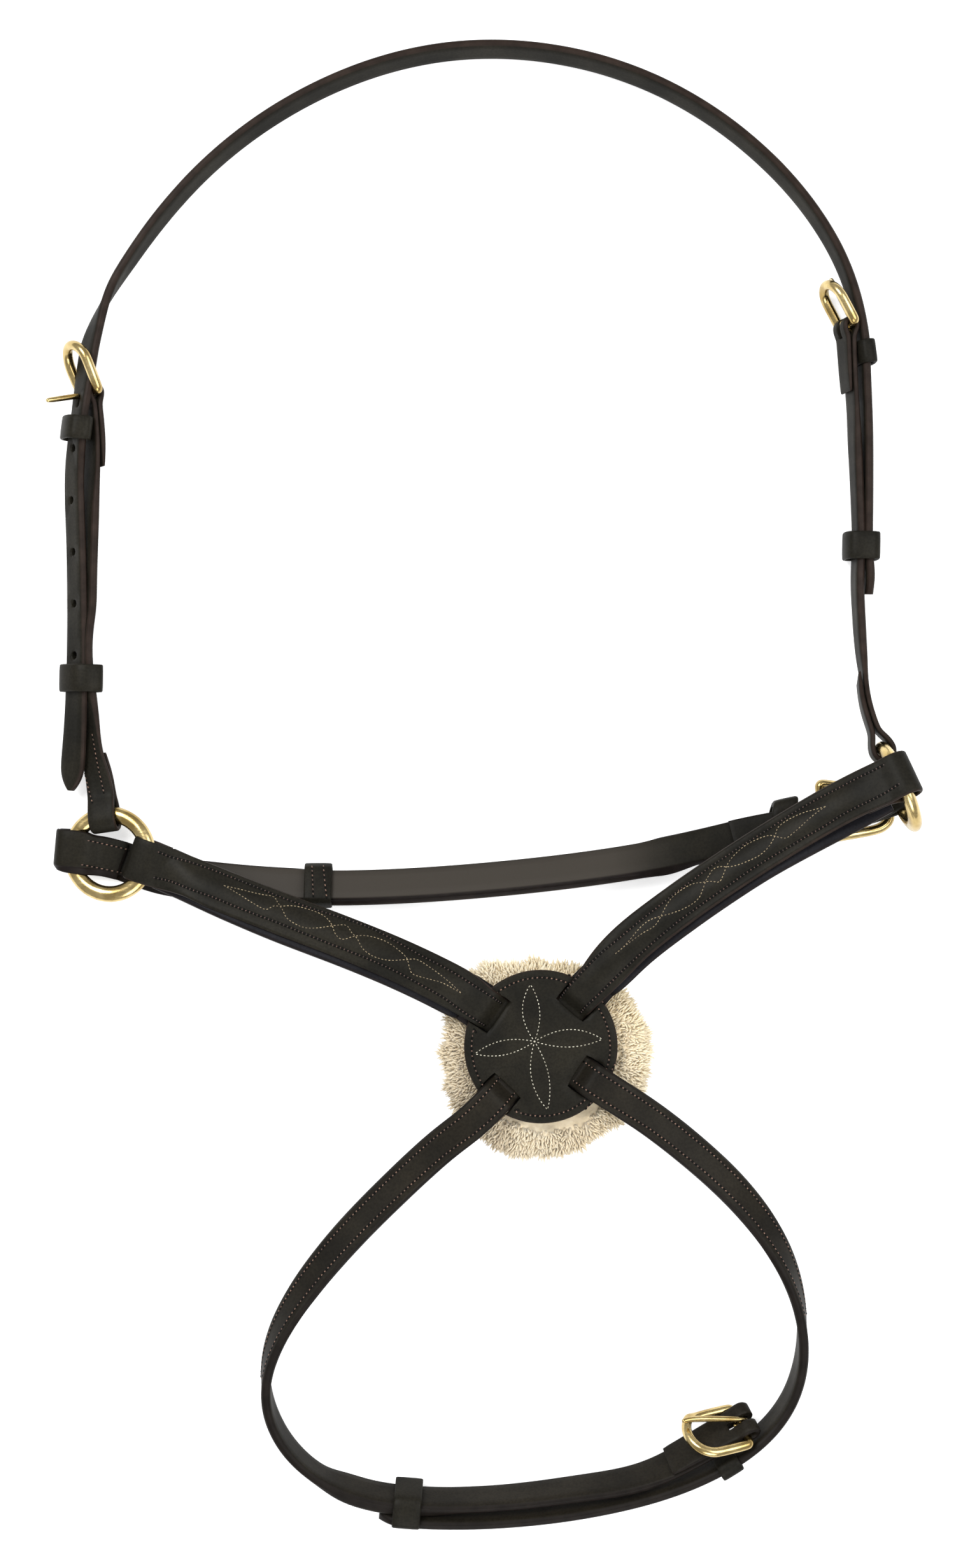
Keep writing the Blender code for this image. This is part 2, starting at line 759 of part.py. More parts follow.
def tongue_mesh(name, length):
    """A tongue in local X and Z: a hook round the bar, then a pin over the front of the frame."""
    hook = BUCKLE_BAR + TONGUE_CLEAR + TONGUE_RADIUS
    rest = BUCKLE_WIRE + TONGUE_CLEAR + TONGUE_RADIUS
    points = []
    radii = []
    hook_steps = 8
    for k in range(hook_steps + 1):
        angle = math.radians(330 - 240 * k / hook_steps)
        points.append(Vector((hook * math.cos(angle), 0, hook * math.sin(angle))))
        radii.append(TONGUE_RADIUS)
    radii[0] = TONGUE_RADIUS * 0.7
    for share in (0.3, 0.6, 0.85, 1.0):
        points.append(Vector(((length + TONGUE_OVER) * share, 0, hook + (rest - hook) * share)))
        radii.append(TONGUE_RADIUS * (1.0 if share < 1 else 0.92))
    points.append(points[-1] + Vector((TONGUE_RADIUS * 0.8, 0, 0)))
    radii.append(TONGUE_RADIUS * 0.5)
    return planar_wire(name, points, radii, Vector((0, 1, 0)), False, 8)


def make_buckle(prefix, bar, frame_tilt, tongue_tilt, inside, length, parent):
    """A frame and a tongue on one bar, each turned from the strap's way towards its grain side."""
    for name, mesh, tilt in (
        (prefix + "_buckle", frame_mesh(prefix, inside, length), frame_tilt),
        (prefix + "_tongue", tongue_mesh(prefix, length), tongue_tilt),
    ):
        forward, face = tilted(bar.toward, bar.grain, tilt)
        add_object(name, mesh, placement(bar.centre, forward, face), parent, brass(name))


def chape_slot(obj, bar, margin, parent):
    """The slot that lets the tongue through a turned end."""
    back = BUCKLE_BAR + TONGUE_CLEAR + 2 * TONGUE_RADIUS + margin
    outline = box_outline(-back, ROUTE_OVERRUN, CHAPE_SLOT / 2)
    place = placement(bar.centre, bar.toward, bar.grain)
    cut(obj, obj.name + "_slot_cutter", [(outline, ROUTE_OVERRUN, place)], parent)


def band(name, centre, along, grain, straps, length, travel, parent):
    """A closed keeper round straps, each given as stations, width and thickness, that can slide by travel."""
    along = along.normalized()
    grain = (grain - along * grain.dot(along)).normalized()
    across = along.cross(grain)
    spots = []
    reach = length / 2 + travel + GAP
    for stations, width, thickness in straps:
        outlines = []
        for s in stations:
            outline = strap_section(width * s.wide, thickness * s.thick)
            outlines.append([s.point + s.across * u + s.grain * v - centre for u, v in outline])
        for here, there in zip(outlines, outlines[1:]):
            for here_spot, there_spot in zip(here, there):
                for share in (0.0, 0.25, 0.5, 0.75, 1.0):
                    spot = here_spot.lerp(there_spot, share)
                    if abs(spot.dot(along)) < reach and spot.length < reach + width * 2:
                        spots.append((spot.dot(across), spot.dot(grain)))
    sides = 16
    turns = [2 * math.pi * k / sides for k in range(sides)]
    supports = [max(u * math.cos(turn) + v * math.sin(turn) for u, v in spots) for turn in turns]

    def loop(grow, s):
        """Where neighbouring sides of the hull, moved out by grow, meet."""
        points = []
        half = math.pi / sides
        for k in range(sides):
            here, there = supports[k] + grow, supports[(k + 1) % sides] + grow
            middle = (here + there) / 2 / math.cos(half)
            aside = (there - here) / 2 / math.sin(half)
            turn = turns[k] + half
            x = middle * math.cos(turn) - aside * math.sin(turn)
            y = middle * math.sin(turn) + aside * math.cos(turn)
            points.append(Vector((s, -x, y)))
        return points

    rings = [
        loop(KEEPER_CLEAR + KEEPER_WALL, -length / 2),
        loop(KEEPER_CLEAR + KEEPER_WALL, length / 2),
        loop(KEEPER_CLEAR, length / 2),
        loop(KEEPER_CLEAR, -length / 2),
    ]
    place = placement(centre, along, grain)
    return add_object(name, lofted(name, rings, True), place, parent, leather(name))


def nearest(stations, point):
    return min(stations, key=lambda s: (s.point.xy - point.xy).length)


def turned(name, profile, segments):
    """A closed solid turned about Z from a profile of radius and height, from the axis and back to it."""
    rings = []
    for radius, height in profile:
        ring = []
        for k in range(segments):
            angle = 2 * math.pi * k / segments
            ring.append(Vector((radius * math.cos(angle), radius * math.sin(angle), height)))
        rings.append(ring)
    return lofted(name, rings)


def disc_profile(radius, low, high):
    inner = radius - DISC_CHAMFER
    return ((inner, low), (radius, low + DISC_CHAMFER), (radius, high - DISC_CHAMFER), (inner, high))


def pad_mesh(name):
    count = len(PAD_OUTLINE_SHARES)
    fine = 2
    rings = []
    for width, height in PAD_SECTION_SHARES:
        ring = []
        for k in range(count * fine):
            here = PAD_OUTLINE_SHARES[k // fine]
            there = PAD_OUTLINE_SHARES[(k // fine + 1) % count]
            radius = PAD_RADIUS * width * (here + (there - here) * (k % fine) / fine)
            angle = 2 * math.pi * k / (count * fine)
            ring.append(Vector((radius * math.cos(angle), radius * math.sin(angle), PAD_HEIGHT * height)))
        rings.append(ring)
    return lofted(name, rings)


def slot_point(slot, disc_centre, back, height):
    inner = disc_centre + Vector((slot.x_share, slot.y_share, 0)) * DISC_RADIUS
    return Vector((inner.x, inner.y, 0)) - heading(slot.heading) * back + UP * height


def slot_controls(slot, disc_centre, layer_low, disc_top, thickness, skived):
    """The way of a strap over the disc's rim, down through its slot and in under the disc."""
    over = disc_top + RIM_CLEAR + skived / 2
    under = layer_low + skived / 2
    share = skived / thickness
    inward = heading(slot.heading)
    made = []
    for back, height in (
        (SLOT_LENGTH + RIM_RUN, over),
        (SLOT_LENGTH - SLOT_MARGIN, over),
        (SLOT_MARGIN, under),
        (-TUCK, under),
    ):
        made.append(Control(slot_point(slot, disc_centre, back, height), UP, share, inward))
    return made


def straps_at(bar, tilt, length, under):
    """Where a strap threaded through a buckle passes the bar and the front of the frame."""
    forward, face = tilted(bar.toward, bar.grain, tilt)
    return bar.centre + forward * length + face * under, face


def head_and_cheeks(left_ring, right_ring, layout):
    """The head strap, both cheek straps and their buckles; gives back the stations that the keepers need."""
    left_normal = left_ring[1].cross(left_ring[2])
    right_normal = -right_ring[1].cross(UP)
    left_toward = heading(97)
    left_place = plan_point(LEFT_BAR_SHARES, LEFT_BAR_HEIGHT)
    left_bar = Bar(left_place, left_toward, leaning(left_toward, 57), BUCKLE_BAR)
    right_toward = heading(96)
    right_place = plan_point(RIGHT_BAR_SHARES, RIGHT_BAR_HEIGHT)
    right_bar = Bar(right_place, right_toward, leaning(right_toward, -106), BUCKLE_BAR)
    left_end = ring_bar(left_ring, 98, lambda r: -r, lambda r: left_normal, HEAD_WIDTH)
    right_end = ring_bar(right_ring, 184, lambda r: -r, lambda r: right_normal, HEAD_WIDTH)
    found = {}
    for side, bar, rows, end in (
        ("left", left_bar, LEFT_CHEEK_ROUTE_SHARES, left_end),
        ("right", right_bar, RIGHT_CHEEK_ROUTE_SHARES, right_end),
    ):
        middle = softened(controls(rows, HEAD_WIDTH, HEAD_THICK))
        _, full = looped(middle, HEAD_THICK, HEAD_FOLD, bar, CHEEK_LAP, end, CHEEK_RING_LAP)
        found[side] = (full, HEAD_WIDTH, HEAD_THICK)
        strap = ribbon(side + "_cheek_strap", full, HEAD_WIDTH, HEAD_THICK, layout)
        chape_slot(strap, bar, CHAPE_SLOT_MARGIN, layout)
    for prefix, bar, frame_tilt, tongue_tilt in (
        ("left_cheek", left_bar, LEFT_FRAME_TILT, LEFT_TONGUE_TILT),
        ("right_cheek", right_bar, RIGHT_FRAME_TILT, RIGHT_FRAME_TILT),
    ):
        inside = HEAD_WIDTH + 2 * CHEEK_BUCKLE_SIDE
        make_buckle(prefix, bar, frame_tilt, tongue_tilt, inside, CHEEK_BUCKLE_LENGTH, layout)

    outside = BUCKLE_BAR + SLACK + HEAD_FOLD + GAP * 2 + HEAD_THICK / 2
    at_bar = left_bar.centre + left_bar.grain * outside
    under = -(BUCKLE_WIRE + GAP * 2 + HEAD_THICK / 2)
    at_front, _ = straps_at(left_bar, LEFT_FRAME_TILT, CHEEK_BUCKLE_LENGTH * FRONT_PASS_SHARE, under)
    straight = (at_front - at_bar).normalized()
    beyond = straight * HEAD_STRAIGHT
    face = straight.cross(left_bar.toward.cross(left_bar.grain)).normalized() * -1
    way = softened(controls(HEAD_TAIL_ROUTE_SHARES, HEAD_WIDTH, HEAD_THICK))
    way += [
        Control(at_bar - beyond, face),
        Control(at_bar, face, 1, straight),
        Control(at_front, face, 1, straight),
        Control(at_front + beyond, face),
    ]
    way += softened(controls(HEAD_ARCH_ROUTE_SHARES, HEAD_WIDTH, HEAD_THICK), 4)
    head = run(way)
    full = reverse(pointed(reverse(pointed(head))))
    strap = ribbon("head_strap", full, HEAD_WIDTH, HEAD_THICK, layout)
    found["head"] = (full, HEAD_WIDTH, HEAD_THICK)
    hook = BUCKLE_BAR + TONGUE_CLEAR + TONGUE_RADIUS
    pin, side_way = tilted(left_bar.toward, left_bar.grain, LEFT_TONGUE_TILT)
    hole = left_bar.centre + side_way * hook + pin * outside
    hole_place = placement(hole, left_bar.toward, left_bar.grain)
    pieces = [(oval_outline(TONGUE_HOLE_LONG, TONGUE_HOLE), HOLE_REACH, hole_place)]
    for k in range(HOLE_COUNT):
        at = at_length(reverse(full), HOLE_FIRST + k * HOLE_PITCH)
        punched = oval_outline(HOLE_RADIUS, HOLE_RADIUS)
        pieces.append((punched, HEAD_THICK, placement(at.point, at.along, at.grain)))
    cut(strap, "head_hole_cutter", pieces, layout)
    return found


def nose_straps(left_ring, right_ring, disc_centre, layer_low, disc_top, layout):
    """Each padded nose strap turns round its ring, passes over the disc's rim and in through its slot."""
    left_normal = left_ring[1].cross(left_ring[2])
    right_normal = -right_ring[1].cross(UP)
    left_bar = ring_bar(left_ring, -18, lambda r: -r, lambda r: left_normal, NOSE_WIDTH)
    right_bar = ring_bar(right_ring, 106, lambda r: right_normal, lambda r: r, NOSE_WIDTH)
    slot_share = NOSE_SLOT_WIDTH / NOSE_WIDTH
    for side, bar, rows, aside in (
        ("left", left_bar, LEFT_NOSE_ROUTE_SHARES, 1),
        ("right", right_bar, RIGHT_NOSE_ROUTE_SHARES, -1),
    ):
        slot = SLOTS[side + "_nose"]
        way = softened(controls(rows, NOSE_WIDTH, NOSE_THICK), 1)
        way += slot_controls(slot, disc_centre, layer_low, disc_top, NOSE_THICK, NOSE_THICK)
        main, full = looped(way, NOSE_THICK, NOSE_FOLD, bar, NOSE_LAP, last=heading(slot.heading))
        inner = slot_point(slot, disc_centre, 0, 0)
        inward = heading(slot.heading)
        shaped, crowns = [], []
        for i, s in enumerate(full):
            near = (inner - s.point).dot(inward)
            to_slot = min(1.0, max(0.0, (near - SLOT_LENGTH) / NOSE_EASE))
            start = i - (len(full) - len(main))
            from_ring = (s.point - main[0].point).length
            to_ring = min(1.0, from_ring / NOSE_EASE) if start > 0 else 0.0
            wide = slot_share + (1 - slot_share) * to_slot * to_slot * (3 - 2 * to_slot)
            shaped.append(station(s.point, s.along, s.grain, wide if start >= 0 else 1, s.thick))
            crowns.append(NOSE_CROWN * min(to_slot, to_ring))
        ribbon(side + "_nose_strap", shaped, NOSE_WIDTH, NOSE_THICK, layout, crowns)

        way = []
        below = (NOSE_THICK + NOSE_BACKING_THICK) / 2 + GAP
        for s in main:
            from_ring = (s.point - main[0].point).length
            from_rim = (inner - s.point).dot(inward) + (inner - disc_centre).xy.length - DISC_RADIUS
            if from_ring > NOSE_LAP + THIN_RUN / 3 and from_rim > BACKING_CLEAR:
                point = s.point - s.grain * below + s.across * aside * BACKING_SHIFT
                way.append(Control(point, s.grain, 1, s.along))
        under = layer_low + LOWER_SKIVED / 2
        rim = (inner - disc_centre).xy.length
        share = BACKING_UNDER_SHARE
        for back in (DISC_RADIUS - rim + BACKING_TUCK, DISC_RADIUS - rim - BACKING_TUCK):
            way.append(Control(slot_point(slot, disc_centre, back, under), UP, share, inward))
        ribbon(side + "_nose_backing", run(way, None, inward), BACKING_WIDTH, NOSE_BACKING_THICK, layout)


def lower_straps(disc_centre, layer_low, disc_top, layout):
    """The two lower straps; the left one carries the lower buckle."""
    toward = heading(28)
    bar = Bar(plan_point(LOWER_BAR_SHARES, LOWER_BAR_HEIGHT), toward, leaning(toward, -138), BUCKLE_BAR)
    found = {}
    for side, rows in (("left", LOWER_LEFT_ROUTE_SHARES), ("right", LOWER_RIGHT_ROUTE_SHARES)):
        slot = SLOTS["lower_" + side]
        inner_way = slot_controls(slot, disc_centre, layer_low, disc_top, LOWER_THICK, LOWER_SKIVED)[::-1]
        way = [Control(c.point, c.grain, c.thick, -c.along) for c in inner_way]
        way += softened(controls(rows, LOWER_WIDTH, LOWER_THICK))
        first = -heading(slot.heading)
        name = "lower_" + side + "_strap"
        if side == "left":
            _, full = looped(way, LOWER_THICK, LOWER_FOLD, end=bar, end_lap=LOWER_CHAPE_LAP, first=first)
            strap = ribbon(name, full, LOWER_WIDTH, LOWER_THICK, layout)
            chape_slot(strap, bar, FLIPPED_SLOT_MARGIN, layout)
        else:
            full = pointed(run(way, first))
            strap = ribbon(name, full, LOWER_WIDTH, LOWER_THICK, layout)
        found[name] = (full, LOWER_WIDTH, LOWER_THICK)
    inside = LOWER_WIDTH + 2 * WIDE_BUCKLE_SIDE
    make_buckle("lower", bar, LOWER_FRAME_TILT, LOWER_FRAME_TILT, inside, WIDE_BUCKLE_LENGTH, layout)
    return found


def jaw_straps(left_ring, right_ring, front_height, layout):
    """The jaw strap with its buckle, and the billet from the right ring that is threaded through it."""
    right_normal = -right_ring[1].cross(UP)
    left_end = ring_bar(left_ring, 174, lambda r: heading(174, 3), lambda r: -UP, JAW_WIDTH)
    billet_bar = ring_bar(right_ring, -75, lambda r: right_normal, lambda r: r, JAW_WIDTH)
    toward = heading(14)
    slope = math.radians(JAW_FRAME_TILT)
    front = billet_bar.centre - billet_bar.toward * JAW_FRAME_REACH
    centre = Vector((front.x, front.y, 0)) - toward * WIDE_BUCKLE_LENGTH * math.cos(slope)
    centre += UP * (front_height - BUCKLE_WIRE + WIDE_BUCKLE_LENGTH * math.sin(slope))
    bar = Bar(centre, toward, -UP, BUCKLE_BAR)
    way = softened(controls(JAW_ROUTE_SHARES, JAW_WIDTH, JAW_THICK))
    jaw, full = looped(way, JAW_THICK, JAW_FOLD, left_end, JAW_LAP, bar, JAW_CHAPE_LAP)
    strap = ribbon("jaw_strap", full, JAW_WIDTH, JAW_THICK, layout)
    chape_slot(strap, bar, CHAPE_SLOT_MARGIN, layout)
    inside = JAW_WIDTH + 2 * WIDE_BUCKLE_SIDE
    make_buckle("jaw", bar, JAW_FRAME_TILT, JAW_FRAME_TILT, inside, WIDE_BUCKLE_LENGTH, layout)

    above = -(BUCKLE_WIRE + GAP * 2 + JAW_THICK / 2)
    over_side, face = straps_at(bar, JAW_FRAME_TILT, WIDE_BUCKLE_LENGTH * JAW_PASS_SHARE, above)
    below = BUCKLE_BAR + SLACK + JAW_FOLD + GAP * 2 + JAW_THICK / 2
    way = [
        Control(over_side, face),
        Control(bar.centre + toward * JAW_STRAIGHT - UP * below, -UP),
        Control(bar.centre - toward * JAW_STRAIGHT - UP * below, -UP),
    ]
    tail = [s for s in reversed(jaw) if s.point.x > JAW_TAIL_SHARE * SPAN]
    tail = [s for s in tail if (s.point - bar.centre).length > JAW_CLEAR]
    for s in tail:
        point = s.point + s.grain * ((1 + s.thick) * JAW_THICK / 2 + GAP)
        way.append(Control(point, s.grain, 1, -s.along))
    billet, billet_full = looped(way, JAW_THICK, JAW_FOLD, billet_bar, BILLET_LAP)
    stations = pointed(billet_full)
    strap = ribbon("jaw_billet", stations, JAW_WIDTH, JAW_THICK, layout)
    crossing = bar.centre + toward * WIDE_BUCKLE_LENGTH * JAW_CROSSING_SHARE - UP * below
    place = placement(crossing, toward, -UP)
    cut(strap, "billet_hole_cutter", [(oval_outline(JAW_HOLE_LONG, TONGUE_HOLE), HOLE_REACH, place)], layout)
    return {"jaw": (full, JAW_WIDTH, JAW_THICK), "billet": (stations, JAW_WIDTH, JAW_THICK)}


def crossing_disc(disc_centre, backing_low, disc_low, disc_top, layout):
    """The disc with its four slots, its backing and the pad."""
    disc = add_object(
        "cross_disc",
        turned("cross_disc", disc_profile(DISC_RADIUS, disc_low, disc_top), 48),
        Matrix.Translation(disc_centre),
        layout,
        leather("cross_disc"),
    )
    pieces = []
    for name, slot in SLOTS.items():
        width = NOSE_SLOT_WIDTH if name.endswith("nose") else LOWER_WIDTH
        outline = box_outline(-SLOT_LENGTH, 0, width / 2 + SLOT_SIDE)
        place = placement(slot_point(slot, disc_centre, 0, disc_low), heading(slot.heading), UP)
        pieces.append((outline, ROUTE_OVERRUN, place))
    cut(disc, "disc_slot_cutter", pieces, layout)
    add_object(
        "disc_backing",
        turned("disc_backing", disc_profile(BACKING_RADIUS, backing_low, backing_low + BACKING_THICK), 48),
        Matrix.Translation(disc_centre),
        layout,
        leather("disc_backing"),
    )
    add_object(
        "sheepskin_pad",
        pad_mesh("sheepskin_pad"),
        Matrix.Translation(plan_point(PAD_SHARES)),
        layout,
        material("sheepskin_pad", (0.78, 0.7, 0.56), 0.95),
    )


def keepers(found, layout):
    """Fixed keepers round one strap, and runners round two."""
    head, left, right = found["head"], found["left"], found["right"]
    lower_left, lower_right = found["lower_left_strap"], found["lower_right_strap"]
    jaw, billet = found["jaw"], found["billet"]
    bands = (
        ("left_fixed_keeper", LEFT_FIXED_KEEPER_SHARES, [head], FIXED_KEEPER_LENGTH, 0),
        ("left_runner_keeper", LEFT_RUNNER_SHARES, [head, left], RUNNER_LENGTH, RUNNER_TRAVEL),
        ("right_fixed_keeper", RIGHT_FIXED_KEEPER_SHARES, [head], FIXED_KEEPER_LENGTH, 0),
        ("right_runner_keeper", RIGHT_RUNNER_SHARES, [head, right], RUNNER_LENGTH, RUNNER_TRAVEL),
        ("jaw_fixed_keeper", JAW_FIXED_KEEPER_SHARES, [jaw, billet], FIXED_KEEPER_LENGTH, 0),
        ("jaw_runner_keeper", JAW_RUNNER_SHARES, [jaw, billet], RUNNER_LENGTH, RUNNER_TRAVEL),
        ("lower_fixed_keeper", LOWER_FIXED_KEEPER_SHARES, [lower_right], FIXED_KEEPER_LENGTH, 0),
        ("lower_runner_keeper", LOWER_RUNNER_SHARES, [lower_right, lower_left], RUNNER_LENGTH, RUNNER_TRAVEL),
    )
    for name, shares, straps, length, travel in bands:
        at = nearest(straps[0][0], plan_point(shares))
        along = Vector((at.along.x, at.along.y, 0)).normalized()
        centre = at.point + along * (plan_point(shares) - at.point).dot(along)
        band(name, centre, along, UP, straps, length, travel, layout)


def centre_layout(layout):
    """Moves the whole noseband so that its box stands centred over the origin."""
    bpy.context.view_layer.update()
    corners = []
    for obj in layout.children:
        if not obj.hide_render:
            corners += [obj.matrix_world @ vertex.co for vertex in obj.data.vertices]
    lows = [min(corner[axis] for corner in corners) for axis in range(3)]
    highs = [max(corner[axis] for corner in corners) for axis in range(3)]
    layout.location = (-(lows[0] + highs[0]) / 2, -(lows[1] + highs[1]) / 2, -lows[2])


def main():
    clear_scene()
    layout = bpy.data.objects.new("layout", None)
    bpy.context.scene.collection.objects.link(layout)
    backing_low = PAD_HEIGHT + GAP
    layer_low = backing_low + BACKING_THICK + GAP
    disc_low = layer_low + LOWER_SKIVED + GAP
    disc_top = disc_low + DISC_THICK
    disc_centre = plan_point(DISC_SHARES)

    tilt = math.radians(LEFT_RING_TILT)
    left_height = RING_RADIUS * math.sin(tilt) + RING_WIRE + SLACK + JAW_FOLD + LEFT_RING_LIFT
    left_ring = (
        plan_point(LEFT_RING_SHARES, left_height),
        Vector((math.cos(tilt), 0, math.sin(tilt))),
        Vector((0, 1, 0)),
    )
    front_height = BUCKLE_WIRE * 2 + TONGUE_RADIUS * 2 + TONGUE_CLEAR + JAW_FRONT_LIFT
    right_height = RING_RADIUS + front_height + GAP * 2 + JAW_THICK / 2 + (JAW_FOLD + GAP) / 2
    right_ring = (plan_point(RIGHT_RING_SHARES, right_height), heading(RIGHT_RING_HEADING), UP)
    make_ring("left_ring", left_ring, layout)
    make_ring("right_ring", right_ring, layout)

    found = head_and_cheeks(left_ring, right_ring, layout)
    nose_straps(left_ring, right_ring, disc_centre, layer_low, disc_top, layout)
    found.update(lower_straps(disc_centre, layer_low, disc_top, layout))
    found.update(jaw_straps(left_ring, right_ring, front_height, layout))
    crossing_disc(disc_centre, backing_low, disc_low, disc_top, layout)
    keepers(found, layout)
    centre_layout(layout)


main()
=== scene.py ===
import json
import math
from collections import namedtuple

import bmesh
import bpy
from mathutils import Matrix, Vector, noise
from mathutils.bvhtree import BVHTree


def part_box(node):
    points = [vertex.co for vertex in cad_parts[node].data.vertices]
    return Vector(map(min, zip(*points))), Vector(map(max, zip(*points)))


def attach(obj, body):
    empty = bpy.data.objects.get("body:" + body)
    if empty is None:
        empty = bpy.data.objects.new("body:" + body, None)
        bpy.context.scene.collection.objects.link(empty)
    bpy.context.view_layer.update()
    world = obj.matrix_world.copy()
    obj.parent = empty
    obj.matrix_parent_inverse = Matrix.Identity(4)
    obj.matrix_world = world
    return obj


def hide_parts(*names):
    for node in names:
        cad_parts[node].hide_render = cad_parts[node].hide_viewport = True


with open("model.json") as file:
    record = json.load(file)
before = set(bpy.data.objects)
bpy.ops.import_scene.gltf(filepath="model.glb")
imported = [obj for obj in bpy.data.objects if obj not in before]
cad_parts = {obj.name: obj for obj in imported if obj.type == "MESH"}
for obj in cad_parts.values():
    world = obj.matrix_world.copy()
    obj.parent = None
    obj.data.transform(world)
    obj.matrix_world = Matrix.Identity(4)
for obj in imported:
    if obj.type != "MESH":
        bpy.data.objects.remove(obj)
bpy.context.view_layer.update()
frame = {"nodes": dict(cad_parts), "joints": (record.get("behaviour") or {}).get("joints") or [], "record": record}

# The looks of a figure-eight noseband: dark leather, brass, dark and cream thread, sheepskin.

MM = 0.001
WHITE = (1, 1, 1, 1)
SPAN = 400 * MM
DISC_SHARES = (0.074, -0.307)  # the crossing disc's place in the layout
PHOTO_WIDTH = 1500
PHOTO_HEIGHT = 2464
PIXELS_PER_METRE = 3300
CAMERA_HEIGHT = 1250 * MM
CAMERA_NEAR = 10 * MM
SENSOR = 36

# Each lamp's place beside the middle of the photo, its width and its power.
LAMPS = {
    "key": ((-0.75, 0.75, 1.5), 1.0, 27),
    "fill": ((0.9, 0.1, 1.3), 1.2, 15),
    "low": ((0.1, -1.2, 1.0), 1.0, 11),
}
WORLD_LIGHT = 0.55
FLOOR_LENGTH = 60
FLOOR_DROP = 0.45 * MM  # below the lowest wool and leather
FLOOR_TONE = 0.82
FLOOR_GLOW = {"Is Camera Ray": 0.5, "Is Glossy Ray": 0.25}

WELD = 0.005 * MM
SHARP = math.radians(35)  # between a strap's face and its cut edge
FACE_SHARE = 0.3  # a strap's faces are its largest regions
EDGE_CREASE = 0.72
KEEPER_CREASE = 0.42
SMOOTH_LEVELS = 2

# Kinds of row: from stitch to stitch, the stitch and its awl hole (long, broad, high) and the turn of both. The
# awl hole is a dark grain of painted shade.
Row = namedtuple("Row", "pitch stitch hole slant")
# The pin-sized awl holes of the fancy and flower rows, also grains of painted shade.
PIN_HOLE = (0.4 * MM, 0.4 * MM, 0.2 * MM)
EDGE_ROW = Row(2.25 * MM, (1.0 * MM, 0.68 * MM, 0.65 * MM), (1.5 * MM, 1.2 * MM, 0.65 * MM), 0.2)
NOSE_ROW = Row(1.9 * MM, (0.85 * MM, 0.7 * MM, 0.75 * MM), (1.6 * MM, 1.45 * MM, 0.7 * MM), 0.25)
LAP_ROW = Row(2.2 * MM, (1.2 * MM, 0.6 * MM, 0.5 * MM), (1.3 * MM, 1.0 * MM, 0.5 * MM), 0.2)
FANCY_ROW = Row(1.65 * MM, (1.15 * MM, 0.42 * MM, 0.42 * MM), PIN_HOLE, 0.0)
FLOWER_ROW = Row(1.75 * MM, (1.15 * MM, 0.48 * MM, 0.48 * MM), PIN_HOLE, 0.0)
STRAP_INSET = 2.3 * MM  # from a lower strap's border to its row
DISC_INSET = 3.0 * MM
DISC_RIM = 5 * MM  # how broad the ring is that keeps the disc's row
SEAT_STEP = 1.5 * MM  # between the points of a row that is laid on its leather
SEAT_REACH = 1.2 * MM
DRAWN_STEP = 3  # pixels between the points of a drawn row
LEAST_CORNER = 0.6  # keeps a row's sharp corners from running away inward
LEAST_SLOPE = 0.1  # a border that is steeper has no row
LEAST_FACING = 0.3  # leather that faces more to another side takes no row
GRAIN_SIDES = 6  # of a stitch, round it and along it
GRAIN_RINGS = 5
OFF_BUCKLE = (1030, 2190)  # rows stay left of or above this pixel, where the lower buckle's lap begins

RING_SIDES = 24
RING_STEPS = 128
RING_SWELL = (0.8 * MM, 0.1 * MM)  # of the wire, across the ring and along its axis
RING_DRAW = 0.4 * MM  # by which its radius is smaller than in the solid
FRAME_SWELL = 0.6 * MM
TONGUE_SWELL = 0.3 * MM

# Triangles pair up into quads where they lie this flat and their corners are this near to square.
LEATHER_PAIRING = (math.radians(25), math.radians(70))
BRASS_PAIRING = (math.radians(60), math.radians(120))
SHEEN_FROM = (250, 430)  # pixels across the photo between which the jaw strap's painted sheen, a paler tone, comes up
SHEEN_TO = (940, 1080)  # and goes again

PAD_LEVELS = 3
RIM_WAVES = ((70, 3.0), (210, 2.0))  # the wool's outline: noise scale, and height in millimetres
RIM_DRAW = 2.0 * MM
PILE_WAVES = ((130, 2.4), (320, 1.5))
PAD_FOOT = 4 * MM  # the pad above this height
PAD_SINK = 1.2 * MM  # is lowered by this, which leaves its locks room under the disc
# From lock to lock, a lock's size, and the reach of the bare middle that the disc covers.
WOOL_SIZES = {"spacing": 0.85 * MM, "length": 3.2 * MM, "thickness": 1.4 * MM, "inside": 33 * MM}
WOOL_DENSITY = 2000000  # points tried on a square metre
WOOL_SEED = 7
WOOL_LEAN = 0.8
WOOL_STRAY = (0.55, 0.55, 0.3)
WOOL_LOW = 0.1 * MM  # no wool hangs lower
LOCK_LENGTH_SHARES = (0.5, 1.3)
LOCK_SIDES = 5
LOCK_TIP_SHARE = 0.12
WOOL_TINT_ACROSS = (0.6, 0.8, 0)  # the wool goes from grey to warm along this
WOOL_TINT_REACH = 45 * MM
